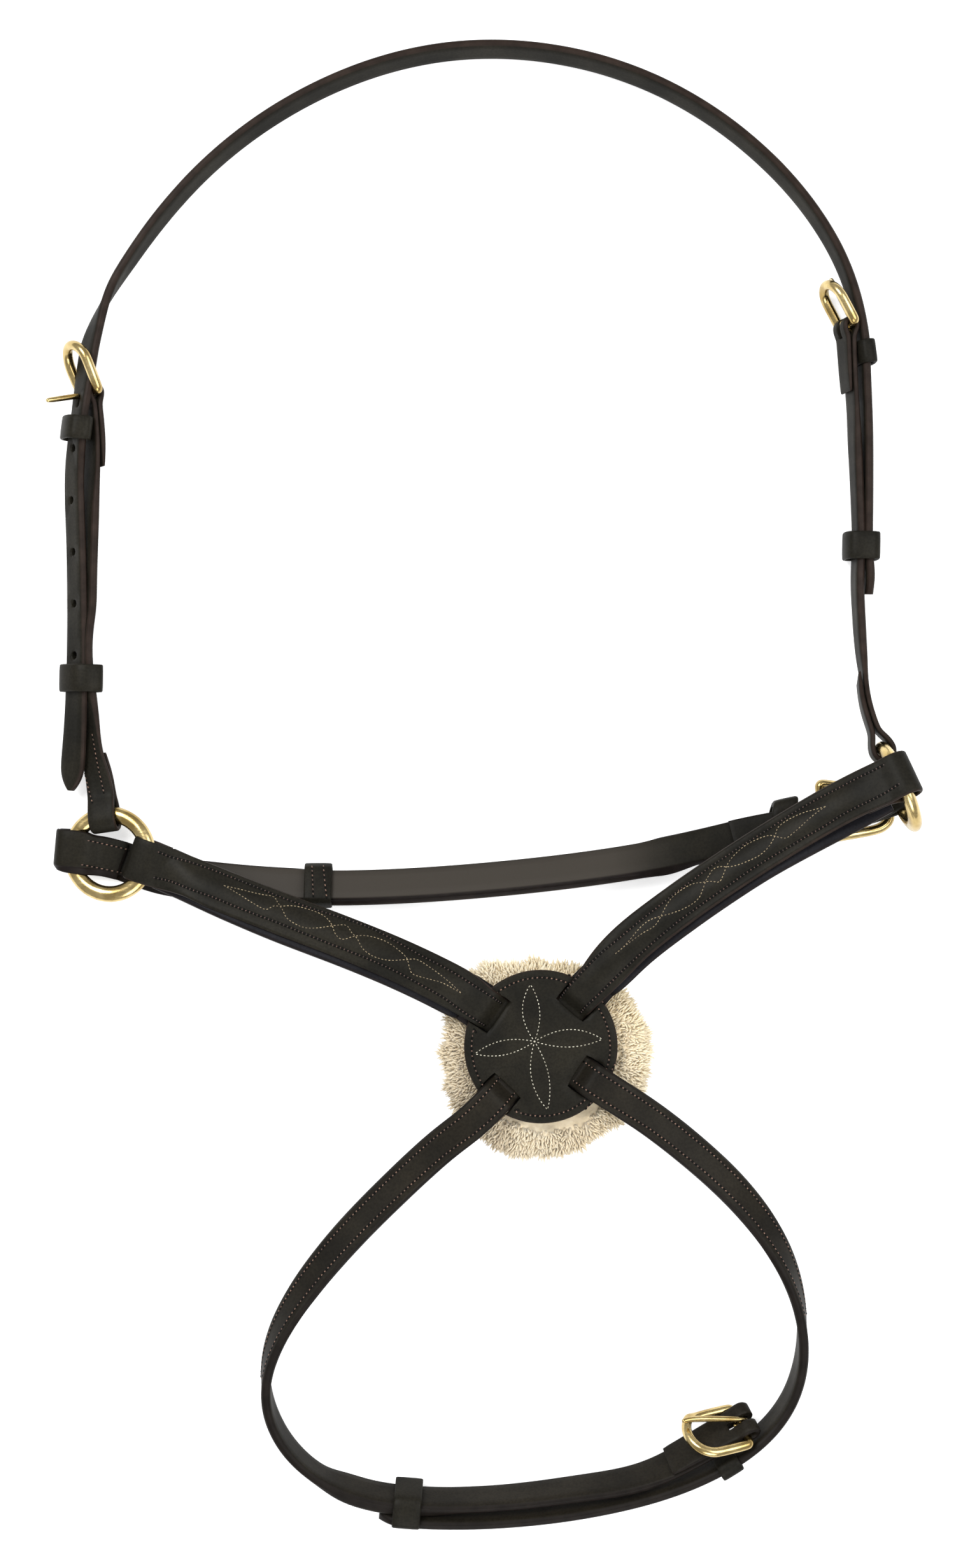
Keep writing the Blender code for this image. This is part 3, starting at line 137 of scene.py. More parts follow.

# Tones as a picture shows them, 0-255: face, bloom, cut edge and, for the jaw strap, the paler tone of its painted
# sheen.
LEATHER_TONES = {
    "bridle_leather": ((21, 20, 16), (32, 30, 24), (44, 35, 30)),
    "lower_leather": ((23, 21, 17), (33, 30, 24), (27, 23, 20)),
    # The jaw strap's fourth tone is a painted sheen across its middle.
    "strap_leather": ((19, 18, 14), (29, 27, 21), (27, 22, 20), (54, 50, 45)),
    "lining_leather": ((18, 18, 22), (27, 27, 31), (30, 26, 26)),
    # Painted shade: the near-black grain that stands for the shade in each awl hole.
    "awl_hole_shade": ((5, 5, 4), (8, 7, 6), (5, 5, 4)),
}
THREAD_TONES = {
    "dark_thread": ((124, 94, 78), (72, 52, 43)),
    "nose_thread": ((84, 60, 52), (46, 34, 30)),
    "khaki_thread": ((158, 140, 108), (100, 86, 64)),
    "white_thread": ((200, 196, 178), (150, 144, 126)),
}
# Pale and deep.
BRASS_TONES = ((204, 183, 130), (160, 136, 84))
# Deep and pale, on the wool's grey side and on its warm side.
WOOL_TONES = (((198, 183, 158), (218, 204, 178)), ((230, 213, 178), (246, 232, 202)))
LEATHER_OF = {
    "jaw_strap": "strap_leather",
    "lower_left_strap": "lower_leather",
    "lower_right_strap": "lower_leather",
    "left_nose_backing": "lining_leather",
    "right_nose_backing": "lining_leather",
    "disc_backing": "lining_leather",
}

BODY_OF = {node: body for body, nodes in frame["record"]["behaviour"]["bodies"].items() for node in nodes}
LEATHER = [
    "head_strap", "left_cheek_strap", "right_cheek_strap", "left_nose_strap", "right_nose_strap",
    "left_nose_backing", "right_nose_backing", "lower_left_strap", "lower_right_strap", "jaw_strap",
    "jaw_billet", "cross_disc", "disc_backing",
]
RINGS = ("left_ring", "right_ring")
KEEPER_KINDS = ("_fixed_keeper", "_runner_keeper")
KEEPERS = [side + kind for side in ("left", "right", "jaw", "lower") for kind in KEEPER_KINDS]
BUCKLE_KINDS = ("_buckle", "_tongue")
BUCKLES = [side + kind for side in ("left_cheek", "right_cheek", "jaw", "lower") for kind in BUCKLE_KINDS]

# Ornament, in the photo's pixels: the two threads of each nose strap's fancy row.
FANCY_LINES = {
    "left_nose_strap": (
        ((353, 1392), (375, 1397), (408, 1405), (429, 1409), (436, 1418), (444, 1430), (452, 1444),
         (476, 1457), (500, 1458), (520, 1455), (543, 1454), (552, 1465), (561, 1475), (570, 1491),
         (587, 1503), (611, 1509), (637, 1508), (655, 1508), (678, 1522), (702, 1540), (725, 1561)),
        ((353, 1392), (375, 1405), (397, 1419), (417, 1429), (429, 1424), (441, 1424), (464, 1424),
         (494, 1432), (511, 1441), (521, 1453), (527, 1468), (538, 1476), (558, 1471), (579, 1471),
         (605, 1479), (626, 1493), (639, 1506), (643, 1520), (649, 1531), (672, 1538), (696, 1545),
         (725, 1561)),
    ),
    "right_nose_strap": (
        ((1295, 1268), (1280, 1272), (1262, 1277), (1244, 1285), (1229, 1294), (1221, 1302), (1217, 1314),
         (1207, 1331), (1193, 1344), (1175, 1353), (1156, 1360), (1143, 1362), (1129, 1362), (1119, 1367),
         (1114, 1375), (1109, 1383), (1104, 1397), (1097, 1412), (1083, 1423), (1069, 1430), (1052, 1436),
         (1037, 1440), (1020, 1446), (1005, 1458), (990, 1476), (977, 1490), (965, 1500)),
        ((1295, 1268), (1280, 1279), (1267, 1290), (1253, 1303), (1241, 1313), (1234, 1317), (1225, 1316),
         (1217, 1314), (1207, 1313), (1189, 1319), (1170, 1329), (1154, 1343), (1145, 1354), (1140, 1364),
         (1136, 1375), (1131, 1385), (1127, 1386), (1115, 1385), (1108, 1386), (1088, 1389), (1071, 1398),
         (1056, 1410), (1046, 1424), (1038, 1440), (1028, 1455), (1010, 1466), (990, 1480), (965, 1500)),
    ),
}

# Plain rows, in the photo's pixels: the two long rows of each nose strap, then those of two laps and of the
# jaw runner.
NOSE_ROWS = {
    "left_nose_strap": (
        ((249, 1339), (270, 1347), (299, 1355), (331, 1366), (362, 1378), (402, 1394), (439, 1409),
         (476, 1423), (513, 1435), (549, 1446), (586, 1460), (623, 1480), (660, 1501), (697, 1520),
         (723, 1535), (748, 1551), (772, 1566), (788, 1577)),
        ((242, 1379), (268, 1385), (301, 1398), (335, 1410), (371, 1425), (402, 1437), (439, 1451),
         (476, 1466), (513, 1481), (549, 1495), (586, 1510), (623, 1527), (660, 1547), (697, 1568),
         (723, 1587), (748, 1603), (762, 1612)),
    ),
    "right_nose_strap": (
        ((1388, 1202), (1369, 1212), (1346, 1223), (1320, 1237), (1295, 1250), (1269, 1264), (1244, 1279),
         (1218, 1296), (1193, 1312), (1167, 1328), (1142, 1345), (1116, 1362), (1091, 1381), (1065, 1400),
         (1040, 1420), (1003, 1449), (967, 1479), (945, 1497), (920, 1521), (896, 1548), (879, 1569)),
        ((1412, 1232), (1392, 1245), (1371, 1256), (1346, 1268), (1320, 1282), (1295, 1298), (1269, 1313),
         (1244, 1328), (1218, 1343), (1193, 1358), (1167, 1375), (1142, 1393), (1116, 1411), (1091, 1429),
         (1065, 1448), (1036, 1472), (1018, 1488), (994, 1510), (969, 1534), (945, 1558), (920, 1582),
         (912, 1592)),
    ),
}
LAP_ROWS = {
    "left_cheek_strap": (((145, 1155), (153, 1200), (163, 1245)), ((133, 1216), (139, 1240), (145, 1261))),
    "jaw_strap": (((139, 1321), (171, 1328), (205, 1336)), ((129, 1359), (160, 1365), (193, 1372))),
    "jaw_runner_keeper": (((490, 1362), (491, 1385), (492, 1408)), ((508, 1361), (510, 1385), (513, 1410))),
}

# How far a piece lies from its solid, in the photo's pixels: the area, its soft border, and how far its floor
# side and, where that differs, its upper side move: right, down and, where there is a third number, up.
NUDGES = {
    "left_cheek_strap": (
        ((100, 700, 200, 980), 60, (-25, 0), (-4, 0)),
        ((100, 1020, 200, 1170), 60, (-12, 0)),
        ((100, 1275, 200, 1340), 12, (0, 6)),
    ),
    "head_strap": (
        ((60, 500, 240, 1260), 60, (0, 0), (9, 0)),
        ((1300, 590, 1420, 850), 60, (-6, 0), (-5, 0)),
    ),
    "left_fixed_keeper": (((128, 600, 200, 720), 8, (8, 0), (10, 0)),),
    "left_runner_keeper": (((140, 980, 200, 1120), 12, (-14, 0)),),
    "left_cheek_buckle": (((60, 480, 180, 560), 50, (2, -12)),),
    "left_cheek_tongue": (((40, 560, 200, 700), 20, (-3, -8)),),
    "right_cheek_strap": (
        ((1280, 580, 1420, 850), 70, (6, 0)),
        ((1260, 420, 1420, 500), 60, (8, 0)),
    ),
    "right_cheek_buckle": (((1200, 400, 1420, 600), 50, (9, -3)),),
    "right_cheek_tongue": (((1200, 400, 1420, 600), 50, (9, -3)),),
    "left_nose_strap": (
        ((750, 1540, 800, 1575), 30, (4, -6)),
        ((180, 1310, 270, 1440), 50, (0, -8)),
    ),
    "left_nose_backing": (
        ((280, 1340, 318, 1440), 110, (-74, -36)),
        ((200, 1382, 262, 1450), 45, (0, 0, -26)),
    ),
    "cross_disc": (((780, 1560, 810, 1580), 16, (4, -6)),),
    "right_nose_backing": (
        ((895, 1490, 930, 1530), 30, (5, 5)),
        ((1300, 1225, 1345, 1310), 110, (64, -28)),
    ),
    "lower_buckle": (
        ((1040, 2190, 1220, 2320), 40, (-8, 3)),
        ((1090, 2190, 1160, 2216), 16, (2, 9)),
    ),
    "lower_tongue": (
        ((1040, 2190, 1220, 2320), 40, (-8, 3)),
        ((1040, 2190, 1090, 2270), 80, (-6, -18)),
    ),
    "lower_runner_keeper": (((590, 2390, 680, 2430), 20, (0, -6)),),
    "right_nose_strap": (((1345, 1200, 1425, 1320), 30, (-4, -12), (0, 0)),),
    "jaw_buckle": (
        ((1365, 1240, 1480, 1400), 60, (26, 0)),
        ((1240, 1200, 1300, 1260), 30, (9, -17)),
        ((1280, 1300, 1400, 1340), 30, (6, -7)),
    ),
    "jaw_fixed_keeper": (((1180, 1200, 1280, 1268), 14, (8, -12)),),
    "jaw_strap": (
        ((60, 1280, 100, 1400), 20, (-6, 0)),
        ((60, 1290, 130, 1318), 20, (0, -6)),
    ),
}

# How far only the underside of a strap lies from its solid: the area, its soft border, and right and down.
UNDER_NUDGES = {
    "jaw_strap": (((115, 1300, 1050, 1460), 60, (0, 10)),),
    "lower_left_strap": (((300, 2280, 640, 2420), 100, (0, 8)),),
}
FLOOR_SIDE = 3 * MM  # heights below and above which a nudge's first and second move hold whole
UPPER_SIDE = 14 * MM

# The flower on the disc, in the photo's pixels.
FLOWER_CENTRE = (839.6, 1636.6)
PETAL_STEPS = 10
PETAL_BELLY = 1.05  # above 1 the petal is broadest past its half
PETAL_FULLNESS = 0.85  # below 1 it is rounder than a sine
PETALS = (  # tip, and the half widths of its two sides
    ((833, 1547), (11.6, 15.5)),
    ((946, 1633), (10.5, 17)),
    ((746, 1656), (11.5, 11)),
    ((860, 1744), (15.5, 11.8)),
)


# Light, camera and floor

def srgb(red, green, blue):
    """A linear colour from the 0-255 values that a picture shows."""
    return [((c / 255 + 0.055) / 1.055) ** 2.4 if c > 10 else c / 3295 for c in (red, green, blue)] + [1]


def photo_centre():
    """The floor's point in the middle of the photo, from the place of the crossing disc."""
    low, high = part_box("cross_disc")
    middle = (low + high) / 2
    return Vector((middle.x - DISC_SHARES[0] * SPAN, middle.y - DISC_SHARES[1] * SPAN, 0))


EYE = photo_centre() + Vector((0, 0, CAMERA_HEIGHT))


def sight(x, y):
    """The direction from the camera through a pixel of the photo."""
    return Vector((x - PHOTO_WIDTH / 2, PHOTO_HEIGHT / 2 - y, -CAMERA_HEIGHT * PIXELS_PER_METRE)).normalized()


def pixel(point):
    """The photo's pixel of a point."""
    ray = point - EYE
    reach = -CAMERA_HEIGHT * PIXELS_PER_METRE / ray.z
    return PHOTO_WIDTH / 2 + ray.x * reach, PHOTO_HEIGHT / 2 - ray.y * reach


def make_camera():
    """The camera straight above the middle of the photo, with the photo's height in view."""
    bpy.context.scene.view_settings.view_transform = "Standard"
    data = bpy.data.cameras.new("camera")
    data.lens = CAMERA_HEIGHT * PIXELS_PER_METRE / PHOTO_HEIGHT * SENSOR
    data.sensor_width = SENSOR
    data.clip_start = CAMERA_NEAR
    camera = bpy.data.objects.new("camera", data)
    camera.location = EYE
    bpy.context.scene.collection.objects.link(camera)
    bpy.context.scene.camera = camera


def make_lamp(name, place, target, size, power):
    """A round lamp at a place, turned to its target."""
    data = bpy.data.lights.new(name, "AREA")
    data.shape = "DISK"
    data.size = size
    data.energy = power
    lamp = bpy.data.objects.new(name, data)
    lamp.location = place
    lamp.rotation_euler = (Vector(target) - Vector(place)).to_track_quat("-Z", "Y").to_euler()
    bpy.context.scene.collection.objects.link(lamp)


def make_world():
    """A dim white studio that the camera itself sees as plain white."""
    world = bpy.data.worlds.new("studio")
    bpy.context.scene.world = world
    world.use_nodes = True
    nodes, links = world.node_tree.nodes, world.node_tree.links
    nodes.clear()
    path = nodes.new("ShaderNodeLightPath")
    seen = nodes.new("ShaderNodeMath")
    seen.operation = "MAXIMUM"
    links.new(path.outputs["Is Camera Ray"], seen.inputs[0])
    links.new(path.outputs["Is Transmission Ray"], seen.inputs[1])
    mix = nodes.new("ShaderNodeMixShader")
    links.new(seen.outputs[0], mix.inputs["Fac"])
    for k, strength in enumerate((WORLD_LIGHT, 1)):
        light = nodes.new("ShaderNodeBackground")
        light.inputs["Color"].default_value = WHITE
        light.inputs["Strength"].default_value = strength
        links.new(light.outputs[0], mix.inputs[k + 1])
    out = nodes.new("ShaderNodeOutputWorld")
    links.new(mix.outputs[0], out.inputs["Surface"])


def make_floor():
    """A wide white floor with a faint glow of its own, which keeps it white far off."""
    bpy.ops.mesh.primitive_plane_add(size=FLOOR_LENGTH, location=(0, 0, -FLOOR_DROP))
    floor = bpy.context.object
    floor.name = "floor"
    material, nodes, links, surface = shader("white_floor")
    surface.inputs["Base Color"].default_value = (FLOOR_TONE, FLOOR_TONE, FLOOR_TONE, 1)
    surface.inputs["Roughness"].default_value = 0.9
    surface.inputs["Specular IOR Level"].default_value = 0.1
    path = nodes.new("ShaderNodeLightPath")
    glow = nodes.new("ShaderNodeMath")
    glow.operation = "MAXIMUM"
    for k, (ray, strength) in enumerate(FLOOR_GLOW.items()):
        share = nodes.new("ShaderNodeMath")
        share.operation = "MULTIPLY"
        share.inputs[1].default_value = strength
        links.new(path.outputs[ray], share.inputs[0])
        links.new(share.outputs[0], glow.inputs[k])
    surface.inputs["Emission Color"].default_value = WHITE
    links.new(glow.outputs[0], surface.inputs["Emission Strength"])
    floor.data.materials.append(material)


# Finishes

def shader(name):
    """A new material with its nodes, its links and its surface node."""
    material = bpy.data.materials.new(name)
    material.use_nodes = True
    tree = material.node_tree
    return material, tree.nodes, tree.links, tree.nodes["Principled BSDF"]


def noise_texture(nodes, links, scale, detail, stretch=None):
    """A noise texture that lies fast on the object."""
    place = nodes.new("ShaderNodeTexCoord")
    texture = nodes.new("ShaderNodeTexNoise")
    texture.inputs["Scale"].default_value = scale
    texture.inputs["Detail"].default_value = detail
    if stretch:
        mapping = nodes.new("ShaderNodeMapping")
        mapping.inputs["Scale"].default_value = stretch
        links.new(place.outputs["Object"], mapping.inputs["Vector"])
        links.new(mapping.outputs["Vector"], texture.inputs["Vector"])
    else:
        links.new(place.outputs["Object"], texture.inputs["Vector"])
    return texture


def ramp(nodes, links, source, stops):
    """A colour ramp on source, with stops of (place, colour)."""
    node = nodes.new("ShaderNodeValToRGB")
    elements = node.color_ramp.elements
    elements[0].position, elements[0].color = stops[0]
    elements[1].position, elements[1].color = stops[-1]
    for place, colour in stops[1:-1]:
        elements.new(place).color = colour
    links.new(source, node.inputs["Fac"])
    return node.outputs["Color"]


def spread(nodes, links, source, low, high):
    """Source, from 0.3 to 0.7, spread from low to high."""
    node = nodes.new("ShaderNodeMapRange")
    node.inputs["From Min"].default_value = 0.3
    node.inputs["From Max"].default_value = 0.7
    node.inputs["To Min"].default_value = low
    node.inputs["To Max"].default_value = high
    links.new(source, node.inputs["Value"])
    return node.outputs["Result"]


def join_socket(links, value, socket):
    """Links a socket to the value, or sets it where the value is a plain one."""
    if isinstance(value, bpy.types.NodeSocket):
        links.new(value, socket)
    else:
        socket.default_value = value


def mixed(nodes, links, share, first, second, way="MIX"):
    """A colour mix of two colours by a share, each a socket or a plain value."""
    node = nodes.new("ShaderNodeMix")
    node.data_type = "RGBA"
    node.blend_type = way
    join_socket(links, share, next(s for s in node.inputs if s.type == "VALUE" and s.enabled))
    for value, socket in zip((first, second), (s for s in node.inputs if s.type == "RGBA")):
        join_socket(links, value, socket)
    return next(s for s in node.outputs if s.type == "RGBA")


def stored(nodes, name):
    """What a mesh holds at its points under a name."""
    node = nodes.new("ShaderNodeAttribute")
    node.attribute_name = name
    return node.outputs["Fac"]


def bumped(nodes, links, surface, heights):
    """Chained bumps of (socket, strength, distance)."""
    last = None
    for height, strength, distance in heights:
        bump = nodes.new("ShaderNodeBump")
        bump.inputs["Strength"].default_value = strength
        bump.inputs["Distance"].default_value = distance
        links.new(height, bump.inputs["Height"])
        if last:
            links.new(last, bump.inputs["Normal"])
        last = bump.outputs["Normal"]
    links.new(last, surface.inputs["Normal"])


def leather_finish(name, face, bloom, cut, sheen_tone=(0, 0, 0, 1)):
    """Waxed bridle leather: a face with paler bloom and pebbled grain, a dyed cut edge and a paler tone of painted
    sheen.
    """
    material, nodes, links, surface = shader(name)
    blotch = noise_texture(nodes, links, scale=45, detail=4)
    fine = noise_texture(nodes, links, scale=900, detail=3)
    colour = ramp(nodes, links, blotch.outputs["Fac"], [(0.36, face), (0.66, bloom)])
    speckles = [(0.3, (0.72, 0.7, 0.68, 1)), (0.62, (1.12, 1.1, 1.08, 1))]
    speckle = ramp(nodes, links, fine.outputs["Fac"], speckles)
    grained = mixed(nodes, links, 1, colour, speckle, "MULTIPLY")
    edge_tone = noise_texture(nodes, links, scale=160, detail=4)
    deep_cut = [c * 0.6 for c in cut[:3]] + [1]
    edge_colour = ramp(nodes, links, edge_tone.outputs["Fac"], [(0.35, deep_cut), (0.7, cut)])
    share = nodes.new("ShaderNodeMapRange")
    share.inputs["From Min"].default_value = 0.05
    share.inputs["From Max"].default_value = 0.5
    links.new(stored(nodes, "cut_edge"), share.inputs["Value"])
    # Painted sheen: the face turns towards a paler tone where the mesh's sheen share is up.
    painted_sheen = mixed(nodes, links, stored(nodes, "painted_sheen"), grained, sheen_tone)
    links.new(mixed(nodes, links, share.outputs["Result"], painted_sheen, edge_colour), surface.inputs["Base Color"])
    links.new(spread(nodes, links, blotch.outputs["Fac"], low=0.56, high=0.44), surface.inputs["Roughness"])
    surface.inputs["Specular IOR Level"].default_value = 0.05
    surface.inputs["Coat Weight"].default_value = 0.06
    surface.inputs["Coat Roughness"].default_value = 0.42
    pebble = nodes.new("ShaderNodeTexVoronoi")
    pebble.inputs["Scale"].default_value = 850
    place = nodes.new("ShaderNodeTexCoord")
    links.new(place.outputs["Object"], pebble.inputs["Vector"])
    wrinkle = noise_texture(nodes, links, scale=220, detail=3)
    bumped(nodes, links, surface, [
        (pebble.outputs["Distance"], 0.2, 0.08 * MM),
        (fine.outputs["Fac"], 0.25, 0.06 * MM),
        (wrinkle.outputs["Fac"], 0.25, 0.25 * MM),
    ])
    return material


def brass_finish(name):
    """Polished brass with faint handling marks."""
    material, nodes, links, surface = shader(name)
    tarnish = noise_texture(nodes, links, scale=110, detail=4)
    marks = noise_texture(nodes, links, scale=420, detail=4, stretch=(1, 3, 1))
    pale, deep = (srgb(*tone) for tone in BRASS_TONES)
    tone = ramp(nodes, links, tarnish.outputs["Fac"], [(0.35, deep), (0.6, pale)])
    links.new(tone, surface.inputs["Base Color"])
    links.new(spread(nodes, links, marks.outputs["Fac"], low=0.14, high=0.3), surface.inputs["Roughness"])
    surface.inputs["Metallic"].default_value = 1
    bumped(nodes, links, surface, [(marks.outputs["Fac"], 0.04, 0.05 * MM)])
    return material


def thread_finish(name, light, dark):
    """Waxed linen thread, darker where the wax and dirt sit."""
    material, nodes, links, surface = shader(name)
    wear = noise_texture(nodes, links, scale=260, detail=3)
    ply = noise_texture(nodes, links, scale=1800, detail=2)
    tone = ramp(nodes, links, wear.outputs["Fac"], [(0.38, dark), (0.62, light)])
    links.new(tone, surface.inputs["Base Color"])
    surface.inputs["Roughness"].default_value = 0.7
    surface.inputs["Sheen Weight"].default_value = 0.15
    bumped(nodes, links, surface, [(ply.outputs["Fac"], 0.5, 0.1 * MM)])
    return material


def wool_finish(name):
    """Cream wool, greyer on one side of the pad and warmer on the other, with darker specks."""
    material, nodes, links, surface = shader(name)
    patch = noise_texture(nodes, links, scale=42, detail=4)
    lock = noise_texture(nodes, links, scale=500, detail=3)
    grey, warm = (
        ramp(nodes, links, patch.outputs["Fac"], [(0.36, srgb(*deep)), (0.64, srgb(*pale))])
        for deep, pale in WOOL_TONES
    )
    low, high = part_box("sheepskin_pad")
    middle = ((low + high) / 2).dot(Vector(WOOL_TINT_ACROSS))
    place = nodes.new("ShaderNodeTexCoord")
    reach = nodes.new("ShaderNodeVectorMath")
    reach.operation = "DOT_PRODUCT"
    reach.inputs[1].default_value = WOOL_TINT_ACROSS
    links.new(place.outputs["Object"], reach.inputs[0])
    side = nodes.new("ShaderNodeMapRange")
    side.inputs["From Min"].default_value = middle - WOOL_TINT_REACH
    side.inputs["From Max"].default_value = middle + WOOL_TINT_REACH
    links.new(reach.outputs["Value"], side.inputs["Value"])
    tint = mixed(nodes, links, side.outputs["Result"], grey, warm)
    shade = ramp(nodes, links, lock.outputs["Fac"], [(0.3, (0.9, 0.88, 0.84, 1)), (0.65, WHITE)])
    links.new(mixed(nodes, links, 1, tint, shade, "MULTIPLY"), surface.inputs["Base Color"])
    surface.inputs["Roughness"].default_value = 0.95
    surface.inputs["Sheen Weight"].default_value = 0.4
    surface.inputs["Subsurface Weight"].default_value = 0.3
    surface.inputs["Subsurface Radius"].default_value = (1, 0.85, 0.7)
    surface.inputs["Subsurface Scale"].default_value = 2 * MM
    clump = noise_texture(nodes, links, scale=190, detail=4)
    bumped(nodes, links, surface, [
        (clump.outputs["Fac"], 0.5, 1.6 * MM),
        (lock.outputs["Fac"], 0.3, 0.5 * MM),
    ])
    return material


# Meshes

def put(name, mesh, node, finish=None):
    """A piece of the node's body, in one finish or in those that its mesh has."""
    piece = bpy.data.objects.new(name, mesh)
    bpy.context.scene.collection.objects.link(piece)
    if finish:
        mesh.materials.clear()
        mesh.materials.append(finish)
    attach(piece, BODY_OF[node])
    return piece


def eased(value):
    """A smooth step from 0 to 1."""
    value = min(1, max(0, value))
    return value * value * (3 - 2 * value)


def within(point, area, border):
    """1 inside an area of the photo, falling softly to 0 over its border."""
    x, y = pixel(point)
    left, top, right, bottom = area
    outside = max(left - x, x - right, 0), max(top - y, y - bottom, 0)
    return eased(1 - outside[0] / border) * eased(1 - outside[1] / border)


def nudged(mesh, node):
    """Moves the mesh as NUDGES and UNDER_NUDGES say."""
    for area, border, low, *upper in NUDGES.get(node, ()):
        high = upper[0] if upper else low
        for vert in mesh.verts:
            weight = within(vert.co, area, border) / PIXELS_PER_METRE
            height = min(1, max(0, (vert.co.z - FLOOR_SIDE) / (UPPER_SIDE - FLOOR_SIDE)))
            vert.co.x += weight * (low[0] + (high[0] - low[0]) * height)
            vert.co.y -= weight * (low[1] + (high[1] - low[1]) * height)
            if len(low) > 2:
                vert.co.z += weight * low[2]
    for area, border, way in UNDER_NUDGES.get(node, ()):
        for vert in mesh.verts:
            if vert.normal.z < 0:
                weight = within(vert.co, area, border) / PIXELS_PER_METRE
                vert.co.x += weight * way[0]
                vert.co.y -= weight * way[1]


def welded(node, pairing=LEATHER_PAIRING):
    """The CAD node's solid as one welded mesh, of quads where its triangles pair up."""
    flat, square = pairing
    mesh = bmesh.new()
    mesh.from_mesh(frame["nodes"][node].data)
    bmesh.ops.remove_doubles(mesh, verts=mesh.verts, dist=WELD)
    bmesh.ops.join_triangles(mesh, faces=mesh.faces, angle_face_threshold=flat, angle_shape_threshold=square)
    mesh.normal_update()
    return mesh


def regions(mesh):
    """The faces of the mesh in regions that sharp edges part, as {face: region}, and each region's area."""
    region = {}
    areas = []
    for start in mesh.faces:
        if start in region:
            continue
        number = len(areas)
        area = 0
        region[start] = number
        waiting = [start]
        while waiting:
            face = waiting.pop()
            area += face.calc_area()
            for edge in face.edges:
                if len(edge.link_faces) != 2 or edge.calc_face_angle(0) > SHARP:
                    continue
                for other in edge.link_faces:
                    if other not in region:
                        region[other] = number
                        waiting.append(other)
        areas.append(area)
    return region, areas


def evaluated(obj):
    """The object's mesh with its modifiers applied. The object itself is removed."""
    mesh = bpy.data.meshes.new_from_object(obj.evaluated_get(bpy.context.evaluated_depsgraph_get()))
    bpy.data.objects.remove(obj)
    return mesh


def smoothed(obj, levels):
    """The object's mesh with a subdivision surface applied."""
    subdivision = obj.modifiers.new("smooth", "SUBSURF")
    subdivision.levels = levels
    subdivision.render_levels = levels
    mesh = evaluated(obj)
    for polygon in mesh.polygons:
        polygon.use_smooth = True
    return mesh


def temporary(mesh):
    """An object that holds the mesh while it is worked on."""
    data = bpy.data.meshes.new("making")
    mesh.to_mesh(data)
    mesh.free()
    obj = bpy.data.objects.new("making", data)
    bpy.context.scene.collection.objects.link(obj)
    return obj


def sheen_share(x):
    """How much painted sheen the jaw strap takes at a pixel across the photo."""
    first, whole = SHEEN_FROM
    still, last = SHEEN_TO
    return eased((x - first) / (whole - first)) * eased((last - x) / (last - still))


def dressed(node, crease):
    """A strap or disc with soft rolled edges. Its points hold how far they are cut_edge and how much painted sheen
    they take.
    """
    mesh = welded(node)
    region, areas = regions(mesh)
    largest = max(areas)
    creases = mesh.edges.layers.float.new("crease_edge")
    cut_edge = mesh.verts.layers.float.new("cut_edge")
    for edge in mesh.edges:
        if len(edge.link_faces) == 2 and region[edge.link_faces[0]] != region[edge.link_faces[1]]:
            edge[creases] = crease
    painted_sheen = mesh.verts.layers.float.new("painted_sheen")
    for vert in mesh.verts:
        on_face = any(areas[region[face]] > FACE_SHARE * largest for face in vert.link_faces)
        vert[cut_edge] = 0.0 if on_face else 1.0
        # The jaw strap's middle takes a painted sheen, a paler tone across it.
        vert[painted_sheen] = sheen_share(pixel(vert.co)[0]) if node == "jaw_strap" else 0.0
    nudged(mesh, node)
    return smoothed(temporary(mesh), SMOOTH_LEVELS)


# Rows

def inset_border(mesh, faces, inset):
    """The border points of the faces moved inward, as {vert: (point, up)}, and each point's neighbours."""
    inward = {}
    beside = {}
    for edge in mesh.edges:
        inside = [f for f in edge.link_faces if f in faces]
        if len(inside) != 1 or len(edge.link_faces) != 2:
            continue
        face = inside[0]
        along = (edge.verts[1].co - edge.verts[0].co).normalized()
        across = face.normal.cross(along)
        middle = (edge.verts[0].co + edge.verts[1].co) / 2
        if across.dot(face.calc_center_median() - middle) < 0:
            across.negate()
        for vert, other in (edge.verts, reversed(edge.verts)):
            inward.setdefault(vert, []).append((across, face.normal.copy()))
            beside.setdefault(vert, []).append(other)
    moved = {}
    for vert, sides in inward.items():
        across = sum((a for a, _ in sides), Vector()).normalized()
        up = sum((n for _, n in sides), Vector()).normalized()
        reach = inset / max(LEAST_CORNER, across.dot(sides[0][0]))
        moved[vert] = (vert.co + across * reach, up)
    return moved, beside


def chained(beside):
    """The points in chains of neighbours. A closed chain ends with its first point."""
    chains = []
    seen = set()
    for start in sorted(beside, key=lambda v: v.index):
        if start in seen:
            continue
        chain = [start]
        seen.add(start)
        for side in beside[start]:
            if side in seen:
                continue
            way = [side]
            seen.add(side)
            while True:
                onward = [v for v in beside[way[-1]] if v not in seen]
                if not onward:
                    break
                way.append(onward[0])
                seen.add(onward[0])
            chain = list(reversed(way)) + chain if len(chain) == 1 else chain + way
        if chain[0] in beside[chain[-1]] and len(chain) > 2:
            chain.append(chain[0])
        chains.append(chain)
    return chains


